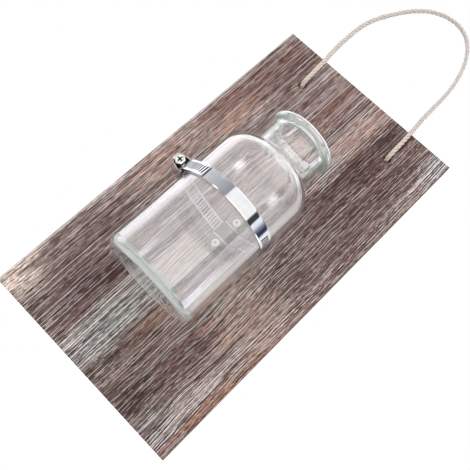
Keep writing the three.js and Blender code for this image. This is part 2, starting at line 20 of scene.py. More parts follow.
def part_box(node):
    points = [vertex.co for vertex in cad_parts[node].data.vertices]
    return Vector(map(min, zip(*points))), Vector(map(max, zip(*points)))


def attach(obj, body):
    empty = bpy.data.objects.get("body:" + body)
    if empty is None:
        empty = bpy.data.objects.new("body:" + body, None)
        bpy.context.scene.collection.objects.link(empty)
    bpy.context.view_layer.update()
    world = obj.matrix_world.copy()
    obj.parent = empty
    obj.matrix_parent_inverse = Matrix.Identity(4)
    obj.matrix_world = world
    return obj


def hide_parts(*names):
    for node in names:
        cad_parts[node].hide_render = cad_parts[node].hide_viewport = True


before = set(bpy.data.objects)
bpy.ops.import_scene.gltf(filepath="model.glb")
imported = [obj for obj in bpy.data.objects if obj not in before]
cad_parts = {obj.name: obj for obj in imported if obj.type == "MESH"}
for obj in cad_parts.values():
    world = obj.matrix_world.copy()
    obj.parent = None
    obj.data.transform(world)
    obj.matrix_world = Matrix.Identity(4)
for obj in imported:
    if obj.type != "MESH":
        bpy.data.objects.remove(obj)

LOG = logging.getLogger("planter")
MM = 0.001
TURN = 2 * math.pi
GLUE_LINE_MM = 26.5
ALL_SMOOTH = 180.0
ROUND_STEPS = 40
KNOT_NODES = ("rope_knot_left", "rope_knot_right")
SCREW_NODES = ("saddle_screw_lower", "saddle_screw_upper")

Piece = bpy.types.Object
Material = bpy.types.Material
NodeTree = bpy.types.NodeTree
Node = bpy.types.Node
Outputs = bpy.types.NodeOutputs
Socket = bpy.types.NodeSocket
Mesh = bmesh.types.BMesh
Vert = bmesh.types.BMVert
Edge = bmesh.types.BMEdge
Layer = bmesh.types.BMLayerItem
Tone = tuple[int, int, int]
Feed = float | Sequence[float] | Socket


class Body(Enum):
    """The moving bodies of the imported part."""

    BOARD = "board"
    WORM = "worm"
    TAIL = "tail"
    BOTTLE = "bottle"


class Slot(Enum):
    """The record's material slots."""

    WOOD = "board_wood"
    ROPE = "jute_rope"
    FASTENER = "fastener_steel"
    BAND = "band_steel"
    HOUSING = "housing_steel"
    GLASS = "clear_glass"


# Shared helpers for numbers, meshes and nodes

def paint(tone: Tone) -> tuple[float, float, float, float]:
    """Turns a display colour of 0 to 255 into the linear colour that a socket takes.

    Args:
        tone: Red, green and blue as they show on a screen.

    Returns:
        Linear red, green, blue and a full alpha.
    """
    linear = [c / 12.92 if c <= 0.04045 else ((c + 0.055) / 1.055) ** 2.4 for c in (t / 255 for t in tone)]
    return (*linear, 1.0)


def ease(share: float) -> float:
    """Smooth step of a share that is held between 0 and 1."""
    share = min(max(share, 0.0), 1.0)
    return share * share * (3 - 2 * share)


def corners(node: str) -> tuple[Vector, Vector]:
    """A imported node's lowest and highest corners at rest."""
    low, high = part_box(node)
    return Vector(low), Vector(high)


def middle_of(node: str) -> Vector:
    """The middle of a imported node's box at rest."""
    low, high = corners(node)
    return (low + high) / 2


def points_of(geom: Iterable[object]) -> list[Vert]:
    """The vertices among what an operator made."""
    return [part for part in geom if isinstance(part, Vert)]


def place(piece: Piece, body: Body, slot: Slot, *nodes: str) -> Piece:
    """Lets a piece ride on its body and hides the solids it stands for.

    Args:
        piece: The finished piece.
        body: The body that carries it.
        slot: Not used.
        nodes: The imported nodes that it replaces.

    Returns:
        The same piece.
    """
    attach(piece, body.value)
    if nodes:
        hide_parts(*nodes)
    LOG.info("%s: %d faces on %s", piece.name, len(piece.data.polygons), body.value)
    return piece


def to_piece(bm: Mesh, name: str, materials: Iterable[Material], sharp: float = 40.0) -> Piece:
    """Makes an object at the origin from a bmesh, smooth except at sharp edges.

    Args:
        bm: The modelled mesh, which is freed.
        name: The piece's name.
        materials: Its finishes, in the order of its faces' material numbers.
        sharp: The angle in degrees above which an edge stays crisp.

    Returns:
        The new object.
    """
    mesh = bpy.data.meshes.new(name)
    bm.to_mesh(mesh)
    bm.free()
    for material in materials:
        mesh.materials.append(material)
    piece = bpy.data.objects.new(name, mesh)
    bpy.context.collection.objects.link(piece)
    shade(piece, sharp)
    return piece


def shade(piece: Piece, sharp: float) -> None:
    """Shades a piece smooth and marks the edges that stay crisp."""
    piece.data.shade_smooth()
    piece.data.set_sharp_from_angle(angle=math.radians(sharp))


def settle(piece: Piece) -> None:
    """Applies a piece's modifiers, so that its mesh is final.

    Args:
        piece: The piece, whose mesh is replaced.
    """
    depsgraph = bpy.context.evaluated_depsgraph_get()
    mesh = bpy.data.meshes.new_from_object(piece.evaluated_get(depsgraph))
    old = piece.data
    piece.modifiers.clear()
    piece.data = mesh
    mesh.name = old.name
    bpy.data.meshes.remove(old)


def round_edges(piece: Piece, width: float, segments: int, angle: float) -> None:
    """Rounds a finished piece's sharp edges.

    Args:
        piece: The piece, whose mesh is replaced.
        width: Width of the rounding.
        segments: The steps of the rounding.
        angle: The least angle between faces, in degrees, that counts as sharp.
    """
    rounding = piece.modifiers.new("edges", "BEVEL")
    rounding.width = width
    rounding.segments = segments
    rounding.limit_method = "ANGLE"
    rounding.angle_limit = math.radians(angle)
    settle(piece)


def absorb(bm: Mesh, other: Mesh) -> None:
    """Adds one mesh to another.

    Args:
        bm: The mesh that grows.
        other: The mesh that is added, freed afterwards.
    """
    spare = bpy.data.meshes.new("spare")
    other.to_mesh(spare)
    other.free()
    bm.from_mesh(spare)
    bpy.data.meshes.remove(spare)


def carve(piece: Piece, cutter: Mesh, slot: int = 0) -> None:
    """Cuts the shapes of a bmesh out of a piece.

    Args:
        piece: The piece that is cut.
        cutter: Closed shapes that are taken away, freed afterwards.
        slot: The piece's material that the cut faces take.
    """
    for face in cutter.faces:
        face.material_index = slot
    tool = to_piece(cutter, f"{piece.name}_cutter", list(piece.data.materials))
    modifier = piece.modifiers.new("carve", "BOOLEAN")
    modifier.object = tool
    modifier.operation = "DIFFERENCE"
    modifier.solver = "EXACT"
    settle(piece)
    mesh = tool.data
    bpy.data.objects.remove(tool)
    bpy.data.meshes.remove(mesh)


def bevel_sharp(bm: Mesh, width: float, angle: float = 35.0) -> None:
    """Rounds the sharp edges of a closed mesh.

    Args:
        bm: The mesh.
        width: How far the rounding reaches from the edge.
        angle: The least angle between faces, in degrees, that counts as sharp.
    """
    least = math.radians(angle)
    edges = [e for e in bm.edges if e.is_manifold and e.calc_face_angle(0.0) > least]
    bmesh.ops.bevel(
        bm, geom=edges, offset=width, offset_type="OFFSET", segments=2, profile=0.5,
        affect="EDGES", material=-1, clamp_overlap=True,
    )


def turned(profile: Sequence[tuple[float, float]], steps: int) -> Mesh:
    """Spins a profile round Z into a closed body.

    Args:
        profile: Points of radius and height, from the axis back to the axis.
        steps: The number of steps round.

    Returns:
        The closed mesh, with its faces outward.
    """
    bm = bmesh.new()
    verts = [bm.verts.new((radius, 0.0, height)) for radius, height in profile]
    edges = [bm.edges.new(pair) for pair in zip(verts, verts[1:])]
    bmesh.ops.spin(
        bm, geom=verts + edges, cent=(0, 0, 0), axis=(0, 0, 1), dvec=(0, 0, 0), angle=TURN, steps=steps,
        use_merge=True,
    )
    bmesh.ops.remove_doubles(bm, verts=bm.verts, dist=1e-6)
    bmesh.ops.recalc_face_normals(bm, faces=bm.faces)
    return bm


def arc(
    centre: tuple[float, float], radius: float, start: float, end: float, steps: int
) -> list[tuple[float, float]]:
    """Points of an arc in a profile, both ends included.

    Args:
        centre: Radius and height of the arc's centre.
        radius: The arc's radius.
        start: Start angle in radians, counted from outward to upward.
        end: End angle in radians.
        steps: The number of steps.

    Returns:
        Points of radius and height.
    """
    angles = [start + (end - start) * i / steps for i in range(steps + 1)]
    return [(centre[0] + radius * math.cos(a), centre[1] + radius * math.sin(a)) for a in angles]


def recess_bar(span: float, width: float, depth: float, top: float, turn: float) -> Mesh:
    """One tapered bar of the cross recess in a screw's head, its axis along Z.

    Args:
        span: Length of the bar at the top.
        width: Width of the bar.
        depth: How deep the recess goes below the top.
        top: Height of the head's top.
        turn: Turn of the bar round the axis, in radians.

    Returns:
        A bar that narrows toward the bottom.
    """
    bm = bmesh.new()
    taper = 0.62
    lift = 1.5
    size = Matrix.Diagonal((span, width, depth * lift, 1.0))
    centre = Matrix.Translation((0, 0, top - depth + depth * lift / 2))
    bar = bmesh.ops.create_cube(bm, size=1.0, matrix=Matrix.Rotation(turn, 4, "Z") @ centre @ size)
    foot = [v for v in bar["verts"] if v.co.z < top - depth / 2]
    bmesh.ops.scale(bm, vec=(taper, taper, 1.0), verts=foot)
    return bm


def merged_copy(node: str, width: float) -> Mesh:
    """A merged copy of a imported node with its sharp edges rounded.

    Args:
        node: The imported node's name.
        width: Width of the rounding, or none if it is 0.

    Returns:
        The copy as a bmesh, in its place.
    """
    bm = bmesh.new()
    bm.from_mesh(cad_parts[node].data)
    bmesh.ops.remove_doubles(bm, verts=bm.verts, dist=2e-6)
    bmesh.ops.dissolve_limit(bm, angle_limit=math.radians(0.5), verts=bm.verts, edges=bm.edges)
    if width > 0:
        bevel_sharp(bm, width)
    return bm


class NodeBench:
    """Short calls that add nodes to one tree and wire them up."""

    def __init__(self, tree: NodeTree) -> None:
        """Works on the given tree."""
        self.tree = tree

    def feed(self, socket: Socket, value: Feed) -> None:
        """Links a socket or sets its plain value.

        Args:
            socket: The input that takes it.
            value: Another node's output, or a plain value.
        """
        if isinstance(value, Socket):
            self.tree.links.new(value, socket)
        else:
            socket.default_value = value

    def add(self, kind: str, feeds: dict[int | str, Feed] | None = None, **settings: object) -> Node:
        """Adds one node.

        Args:
            kind: The node's type name.
            feeds: Values or sockets for its inputs, by name or number.
            settings: Other settings of the node.

        Returns:
            The node.
        """
        node = self.tree.nodes.new(kind)
        for key, value in settings.items():
            setattr(node, key, value)
        for key, value in (feeds or {}).items():
            self.feed(node.inputs[key], value)
        return node

    def math(self, operation: str, a: Feed, b: Feed = 0.0) -> Socket:
        """The result of one sum on two values."""
        return self.add("ShaderNodeMath", {0: a, 1: b}, operation=operation).outputs[0]

    def span(self, value: Feed, low: float, high: float, least: float = 0.0, most: float = 1.0) -> Socket:
        """A value moved from one range to another and held inside it."""
        feeds = {"Value": value, "From Min": low, "From Max": high, "To Min": least, "To Max": most}
        return self.add("ShaderNodeMapRange", feeds, clamp=True).outputs[0]

    def mix(self, factor: Feed, a: Feed, b: Feed, blend: str = "MIX") -> Socket:
        """Two colours mixed by the second one's share."""
        node = self.add("ShaderNodeMix", {0: factor, 6: a, 7: b}, data_type="RGBA", blend_type=blend)
        return node.outputs[2]

    def blend(self, factor: Feed, a: Feed, b: Feed) -> Socket:
        """Two plain values mixed by a factor."""
        return self.add("ShaderNodeMix", {0: factor, 2: a, 3: b}, data_type="FLOAT").outputs[0]

    def noise(self, vector: Feed, scale: float = 1.0, detail: float = 2.0, roughness: float = 0.5) -> Socket:
        """Plain noise between 0 and 1."""
        feeds = {"Vector": vector, "Scale": scale, "Detail": detail, "Roughness": roughness}
        return self.add("ShaderNodeTexNoise", feeds).outputs[0]

    def mapped(self, vector: Feed, scale: Sequence[float], shift: Sequence[float] = (0, 0, 0)) -> Socket:
        """A vector scaled and then moved."""
        return self.add("ShaderNodeMapping", {"Vector": vector, "Scale": scale, "Location": shift}).outputs[0]

    def ramp(self, value: Feed, stops: Sequence[tuple[float, Sequence[float]]]) -> Socket:
        """A colour read from stops along a value.

        Args:
            value: Where along the stops to read.
            stops: Pairs of place and linear colour, in rising order.

        Returns:
            The colour socket.
        """
        node = self.add("ShaderNodeValToRGB", {0: value})
        elements = node.color_ramp.elements
        while len(elements) < len(stops):
            elements.new(1.0)
        for element, (position, colour) in zip(elements, stops):
            element.position = position
            element.color = colour
        return node.outputs[0]

    def bump(self, height: Feed, depth: float, strength: float = 1.0) -> Socket:
        """A normal bent by a height whose full range is depth metres."""
        feeds = {"Height": height, "Distance": depth, "Strength": strength}
        return self.add("ShaderNodeBump", feeds).outputs[0]

    def group(self, tree: NodeTree, feeds: dict[int | str, Feed]) -> Node:
        """A shared group, placed with its own values."""
        return self.add("ShaderNodeGroup", feeds, node_tree=tree)

    def object_mm(self) -> Socket:
        """Object coordinates in millimetres."""
        coordinates = self.add("ShaderNodeTexCoord").outputs["Object"]
        return self.mapped(coordinates, (1 / MM,) * 3)


def new_material(name: str) -> tuple[Material, NodeBench, Node]:
    """A node material with its main shader.

    Args:
        name: The finish's name.

    Returns:
        The material, a bench on its tree and its main shader node.
    """
    material = bpy.data.materials.new(name)
    material.use_nodes = True
    return material, NodeBench(material.node_tree), material.node_tree.nodes["Principled BSDF"]


def new_group(
    name: str, takes: Sequence[tuple[str, str]], gives: Sequence[str]
) -> tuple[NodeTree, NodeBench, Node, Node]:
    """An empty shader group with named sockets.

    Args:
        name: The group's name.
        takes: Names and kinds of its inputs.
        gives: Names of its outputs, all plain values.

    Returns:
        The group's tree, a bench on it and its input and output nodes.
    """
    tree = bpy.data.node_groups.new(name, "ShaderNodeTree")
    for label, kind in takes:
        tree.interface.new_socket(label, in_out="INPUT", socket_type=f"NodeSocket{kind}")
    for label in gives:
        tree.interface.new_socket(label, in_out="OUTPUT", socket_type="NodeSocketFloat")
    bench = NodeBench(tree)
    return tree, bench, bench.add("NodeGroupInput"), bench.add("NodeGroupOutput")


# Shader groups and kinds of finish

def hairlines() -> NodeTree:
    """Builds the group that draws thin lines along the grain, each with its own place, strength and runs.

    Returns:
        The shader group, which takes millimetres and gives a mask.
    """
    takes = tuple((label, "Float") for label in ("Across", "Along", "Pitch", "Width", "Reach", "Seed"))
    tree, bench, taken, given = new_group("Hairlines", takes, ("Mask",))
    feeds = taken.outputs
    count = bench.math("DIVIDE", feeds["Across"], feeds["Pitch"])
    row = bench.math("ADD", bench.math("FLOOR", count), bench.math("MULTIPLY", feeds["Seed"], 1000.0))
    pick = bench.add("ShaderNodeTexWhiteNoise", {"W": row}, noise_dimensions="1D").outputs["Color"]
    shift, phase, strength = bench.add("ShaderNodeSeparateColor", {0: pick}).outputs
    middle = bench.math("ADD", bench.math("MULTIPLY", shift, 0.6), 0.2)
    away = bench.math("ABSOLUTE", bench.math("SUBTRACT", bench.math("FRACT", count), middle))
    edge = bench.math("SUBTRACT", bench.math("MULTIPLY", away, feeds["Pitch"]), feeds["Width"])
    run = bench.add(
        "ShaderNodeCombineXYZ",
        {
            0: bench.math("MULTIPLY", phase, 90.0),
            1: bench.math("MULTIPLY", row, 0.37),
            2: bench.math("DIVIDE", feeds["Along"], feeds["Reach"]),
        },
    ).outputs[0]
    gate = bench.span(bench.noise(run, detail=1.0), 0.48, 0.54)
    mask = bench.math("MULTIPLY", bench.span(edge, 0.12, -0.12), gate)
    mask = bench.math("MULTIPLY", mask, bench.math("ADD", bench.math("MULTIPLY", strength, 0.5), 0.5))
    bench.feed(given.inputs["Mask"], mask)
    return tree


def timber_grain() -> NodeTree:
    """Builds the group that draws grit, dark and pale hairlines, lines and broad bands along the board.

    Returns:
        The shader group, which takes millimetres and gives masks.
    """
    takes = (("Vector", "Vector"), ("Wander", "Float"), ("Seed", "Float"))
    gives = ("Grit", "Dark", "Pale", "Lines", "Bands")
    tree, bench, taken, given = new_group("Timber grain", takes, gives)
    parts = bench.add("ShaderNodeSeparateXYZ", {0: taken.outputs["Vector"]}).outputs
    seed = bench.math("MULTIPLY", taken.outputs["Seed"], 61.0)
    depth = bench.math("ADD", parts[1], seed)
    spread = bench.add("ShaderNodeCombineXYZ", {0: parts[0], 1: depth, 2: parts[2]}).outputs[0]
    slow = bench.noise(bench.mapped(spread, (0.022, 0.02, 0.007)), detail=2.0)
    quick = bench.noise(bench.mapped(spread, (0.05, 0.05, 0.03)), detail=1.0)
    sway = bench.math("ADD", bench.math("SUBTRACT", slow, 0.5), bench.math("MULTIPLY", quick, 0.3))
    across = bench.math("ADD", parts[0], bench.math("MULTIPLY", sway, taken.outputs["Wander"]))
    along = bench.add("ShaderNodeCombineXYZ", {0: across, 1: depth, 2: parts[2]}).outputs[0]
    layers = (
        ("Grit", (1.1, 1.1, 0.3), (0.0, 0.0, 0.0), 2.0),
        ("Lines", (0.26, 0.26, 0.006), (4.0, 6.0, 2.0), 2.0),
        ("Bands", (0.085, 0.085, 0.0035), (5.0, 1.0, 8.0), 3.0),
    )
    for label, scale, shift, detail in layers:
        streaks = bench.noise(bench.mapped(along, scale, shift), detail=detail, roughness=0.55)
        bench.feed(given.inputs[label], streaks)
    hair = hairlines()
    strokes = (
        ("Dark", ((2.0, 0.33, 9.0), (2.7, 0.37, 26.0), (4.2, 0.46, 60.0))),
        ("Pale", ((2.3, 0.31, 9.0), (3.1, 0.35, 30.0), (5.2, 0.42, 90.0))),
    )
    slanted = bench.math("ADD", across, bench.math("MULTIPLY", parts[1], 0.7))
    for number, (label, rows) in enumerate(strokes):
        masks = []
        for layer, (pitch, width, reach) in enumerate(rows):
            feeds = {"Across": slanted, "Along": parts[2], "Pitch": pitch, "Width": width, "Reach": reach}
            feeds["Seed"] = bench.math("ADD", taken.outputs["Seed"], 2.0 + 3 * number + layer)
            masks.append(bench.group(hair, feeds).outputs["Mask"])
        bench.feed(given.inputs[label], bench.math("MAXIMUM", bench.math("MAXIMUM", *masks[:2]), masks[2]))
    return tree


def handling_marks() -> NodeTree:
    """Builds the group that draws fine scratches and dull smudges on metal and glass.

    Returns:
        The shader group, which takes millimetres and gives masks.
    """
    takes = (("Vector", "Vector"), ("Fineness", "Float"))
    tree, bench, taken, given = new_group("Handling marks", takes, ("Scratches", "Smudges"))
    vector = bench.add(
        "ShaderNodeVectorMath", {0: taken.outputs["Vector"], 3: taken.outputs["Fineness"]}, operation="SCALE"
    ).outputs[0]
    warp = bench.noise(bench.mapped(vector, (0.3, 0.3, 0.3)), detail=1.0)
    lines = bench.add("ShaderNodeCombineXYZ", {0: warp, 1: warp, 2: warp}).outputs[0]
    bent = bench.add("ShaderNodeVectorMath", {0: vector, 1: lines}, operation="ADD").outputs[0]
    scratch = bench.noise(bench.mapped(bent, (0.35, 0.35, 6.0)), detail=3.0, roughness=0.7)
    smudge = bench.noise(bench.mapped(vector, (0.12, 0.12, 0.12)), detail=3.0, roughness=0.6)
    bench.feed(given.inputs["Scratches"], bench.span(scratch, 0.55, 0.72))
    bench.feed(given.inputs["Smudges"], bench.span(smudge, 0.35, 0.68))
    return tree


class Stain(Enum):
    """Tones that the stain and the weather left on the face, each with the share of pale wash it kept."""

    MAROON = ((88, 62, 60), 0.4)
    UMBER = ((117, 89, 85), 0.55)
    RUSSET = ((134, 95, 86), 0.45)
    COPPER = ((170, 128, 110), 0.45)
    ROSE = ((180, 146, 135), 0.65)
    ASH = ((147, 139, 139), 1.25)
    PALE = ((168, 147, 141), 0.9)
    TAN = ((246, 220, 206), 0.6)


@dataclass(frozen=True)
class Patch:
    """A soft patch of stain on the board's face, in millimetres from the board's middle."""

    stain: Stain
    x: float
    z: float
    width: float
    height: float
    strength: float = 0.85


@dataclass(frozen=True)
class WoodFinish:
    """Brushed, stained and worn timber of two glued staves, with pale wash left in the open grain."""

    name: str
    low: Tone
    middle: Tone
    high: Tone
    dark: Tone
    wash: Tone
    wash_share: float
    roughness: tuple[float, float]
    patches: tuple[Patch, ...] = ()
    glue_line: float = GLUE_LINE_MM

    def material(self, grain: NodeTree) -> Material:
        """Builds the finish.

        Args:
            grain: The shared group that draws the grain.

        Returns:
            The material.
        """
        material, bench, shader = new_material(self.name)
        vector = bench.object_mm()
        parts = bench.add("ShaderNodeSeparateXYZ", {0: vector}).outputs
        stave = bench.math("GREATER_THAN", parts[0], self.glue_line)
        wander = bench.span(stave, 0.0, 1.0, 3.0, 10.0)
        drawn = bench.group(grain, {"Vector": vector, "Wander": wander, "Seed": stave}).outputs
        grit = drawn["Grit"]
        colour = bench.ramp(
            drawn["Bands"], ((0.36, paint(self.low)), (0.5, paint(self.middle)), (0.64, paint(self.high)))
        )
        colour, chalk = self.patched(bench, colour, drawn, parts)
        lined = bench.span(drawn["Lines"], 0.36, 0.64, 0.8, 1.2)
        light = bench.math("MULTIPLY", bench.span(grit, 0.32, 0.68, 0.5, 1.5), lined)
        shine = bench.add("ShaderNodeCombineColor", {0: light, 1: light, 2: light}).outputs[0]
        colour = bench.mix(1.0, colour, shine, "MULTIPLY")
        dark = bench.math("MULTIPLY", drawn["Dark"], bench.span(grit, 0.4, 0.62, 1.0, 0.6))
        colour = bench.mix(dark, colour, paint(self.dark))
        hollow = bench.add("ShaderNodeAttribute", attribute_name="hollow").outputs["Fac"]
        pale = bench.math("MULTIPLY", drawn["Pale"], bench.span(grit, 0.38, 0.6, 0.6, 1.0))
        pale = bench.math("ADD", pale, bench.math("MULTIPLY", hollow, 0.1))
        pale = bench.math("MINIMUM", bench.math("MULTIPLY", pale, chalk), 1.0)
        colour = bench.mix(bench.math("MULTIPLY", pale, self.wash_share), colour, paint(self.wash))
        seam = bench.math("COMPARE", parts[0], self.glue_line)
        seam.node.inputs[2].default_value = 0.3
        colour = bench.mix(bench.math("MULTIPLY", seam, 0.55), colour, paint(self.dark))
        bench.feed(shader.inputs["Base Color"], colour)
        bench.feed(shader.inputs["Roughness"], bench.span(grit, 0.36, 0.64, *self.roughness))
        height = bench.math("SUBTRACT", bench.math("MULTIPLY", grit, 0.3), bench.math("MULTIPLY", dark, 0.5))
        bench.feed(shader.inputs["Normal"], bench.bump(height, 0.15 * MM, 0.5))
        shader.inputs["Specular IOR Level"].default_value = 0.18
        return material

    def patched(
        self, bench: NodeBench, colour: Socket, drawn: Outputs, parts: Outputs
    ) -> tuple[Socket, Socket]:
        """Lays the finish's patches over a colour, with edges that run out along the grain.

        Args:
            bench: The bench on the material's tree.
            colour: The colour so far.
            drawn: The grain group's outputs.
            parts: The place on the board as x, y and z.

        Returns:
            The colour with the patches, and the share of wash that the face kept.
        """
        x = bench.math("ADD", parts[0], bench.span(drawn["Bands"], 0.3, 0.7, -4.0, 4.0))
        z = bench.math("ADD", parts[2], bench.span(drawn["Lines"], 0.3, 0.7, -24.0, 24.0))
        ragged = bench.add("ShaderNodeCombineXYZ", {0: x, 2: z}).outputs[0]
        washed = bench.noise(bench.mapped(ragged, (0.03, 0.03, 0.012), (3.0, 0.0, 6.0)), detail=2.0)
        chalk = bench.span(washed, 0.36, 0.62, 0.45, 1.0)
        for patch in self.patches:
            tone, share = patch.stain.value
            size = (2 / patch.width, 1.0, 2 / patch.height)
            shift = (-patch.x * size[0], 0.0, -patch.z * size[2])
            centred = bench.mapped(ragged, size, shift)
            ball = bench.add("ShaderNodeTexGradient", {0: centred}, gradient_type="SPHERICAL").outputs[1]
            cover = bench.span(ball, 0.0, 0.5, 0.0, patch.strength)
            colour = bench.mix(cover, colour, paint(tone))
            chalk = bench.blend(cover, chalk, share)
        return colour, chalk


@dataclass(frozen=True)
class RopeFinish:
    """Natural jute: pale fibres twisted along each strand, with painted shade where the strands press
    together.
    """

    name: str
    pale: Tone
    deep: Tone
    # Tone of the painted shade between the strands.
    crease_shade: Tone
    ends: Tone
    ends_share: float = 0.42
    ends_fade: tuple[float, float] = (174.0, 152.0)
    yarn_twist: float = -700.0
    yarn_run: float = 90.0
    roughness: float = 0.9

    def material(self) -> Material:
        """Builds the finish, which reads the rope's own UV map and its attribute of painted shade between the
        strands.

        Returns:
            The material.
        """
        material, bench, shader = new_material(self.name)
        uv = bench.add("ShaderNodeUVMap", uv_map="strand").outputs[0]
        parts = bench.add("ShaderNodeSeparateXYZ", {0: uv}).outputs
        twist = bench.math("MULTIPLY", parts[1], self.yarn_twist)
        angle = bench.math("ADD", bench.math("MULTIPLY", parts[0], TURN), twist)
        ring = bench.add("ShaderNodeCombineXYZ", {
            0: bench.math("COSINE", angle),
            1: bench.math("SINE", angle),
            2: bench.math("MULTIPLY", parts[1], self.yarn_run),
        }).outputs[0]
        yarn = bench.noise(ring, scale=2.6, detail=4.0, roughness=0.7)
        blotch = bench.noise(bench.object_mm(), scale=0.22, detail=2.0)
        colour = bench.mix(bench.span(yarn, 0.33, 0.68), paint(self.deep), paint(self.pale))
        colour = bench.mix(bench.span(blotch, 0.5, 0.75, 0.0, 0.35), colour, paint(self.deep))
        height = bench.add("ShaderNodeSeparateXYZ", {0: bench.object_mm()}).outputs[2]
        warmed = bench.span(height, *self.ends_fade, 0.0, self.ends_share)
        colour = bench.mix(warmed, colour, paint(self.ends))
        # Painted shade: the colour darkens where the strands press together.
        crease_shade = bench.add("ShaderNodeAttribute", attribute_name="crease_shade").outputs["Fac"]
        colour = bench.mix(bench.math("MULTIPLY", crease_shade, 0.85), colour, paint(self.crease_shade))
        bench.feed(shader.inputs["Base Color"], colour)
        bench.feed(shader.inputs["Normal"], bench.bump(yarn, 0.25 * MM, 0.8))
        bench.feed(shader.inputs["Roughness"], bench.span(yarn, 0.3, 0.7, self.roughness, 0.78))
        shader.inputs["Specular IOR Level"].default_value = 0.15
        return material


@dataclass(frozen=True)
class SteelFinish:
    """Plated or polished steel with rolling lines, fine scratches and dull smudges."""

    name: str
    tone: Tone
    stain: Tone
    roughness: tuple[float, float]
    fineness: float = 1.3
    bump: float = 0.01 * MM
    stain_share: float = 0.4
    metal: float = 1.0

    def material(self, marks: NodeTree) -> Material:
        """Builds the finish.

        Args:
            marks: The shared group that draws scratches and smudges.

        Returns:
            The material.
        """
        material, bench, shader = new_material(self.name)
        worn = bench.group(marks, {"Vector": bench.object_mm(), "Fineness": self.fineness}).outputs
        dull = bench.math("MULTIPLY", worn["Smudges"], self.stain_share)
        bench.feed(shader.inputs["Base Color"], bench.mix(dull, paint(self.tone), paint(self.stain)))
        scratched = bench.math("MULTIPLY", worn["Scratches"], 0.6)
        wear = bench.math("ADD", scratched, bench.math("MULTIPLY", worn["Smudges"], 0.4))
        bench.feed(shader.inputs["Roughness"], bench.span(wear, 0.0, 1.0, *self.roughness))
        bench.feed(shader.inputs["Normal"], bench.bump(worn["Scratches"], self.bump, 0.5))
        shader.inputs["Metallic"].default_value = self.metal
        return material


@dataclass(frozen=True)
class GlassFinish:
    """Colourless pressed glass, faintly green through its thick edges and a little hazy."""

    name: str
    clearness: float
    coat: float
    roughness: tuple[float, float]
    tone: tuple[float, float, float, float] = (1.0, 0.966, 0.974, 1.0)
    tint: tuple[float, float, float, float] = (0.1, 0.67, 0.5, 1.0)
    density: float = 1.5
    clear: tuple[float, float, float, float] = (0.95, 0.97, 0.96, 1.0)

    def material(self, marks: NodeTree) -> Material:
        """Builds the finish, which lets lamp light through to what stands behind.

        Args:
            marks: The shared group that draws scratches and smudges.

        Returns:
            The material.
        """
        material, bench, shader = new_material(self.name)
        worn = bench.group(marks, {"Vector": bench.object_mm(), "Fineness": 0.5}).outputs
        bench.feed(shader.inputs["Roughness"], bench.span(worn["Smudges"], 0.0, 1.0, *self.roughness))
        shader.inputs["Base Color"].default_value = self.tone
        shader.inputs["Transmission Weight"].default_value = self.clearness
        shader.inputs["IOR"].default_value = 1.5
        shader.inputs["Coat Weight"].default_value = 1.0
        shader.inputs["Coat Roughness"].default_value = 0.05
        shader.inputs["Coat IOR"].default_value = self.coat
        path = bench.add("ShaderNodeLightPath").outputs
        passing = bench.math("MAXIMUM", path["Is Shadow Ray"], path["Is Diffuse Ray"])
        open_way = bench.add("ShaderNodeBsdfTransparent", {0: self.clear})
        both = bench.add("ShaderNodeMixShader", {0: passing, 1: shader.outputs[0], 2: open_way.outputs[0]})
        volume = bench.add("ShaderNodeVolumeAbsorption", {"Color": self.tint, "Density": self.density})
        output = material.node_tree.nodes["Material Output"]
        bench.feed(output.inputs["Surface"], both.outputs[0])
        bench.feed(output.inputs["Volume"], volume.outputs[0])
        return material


# Rope

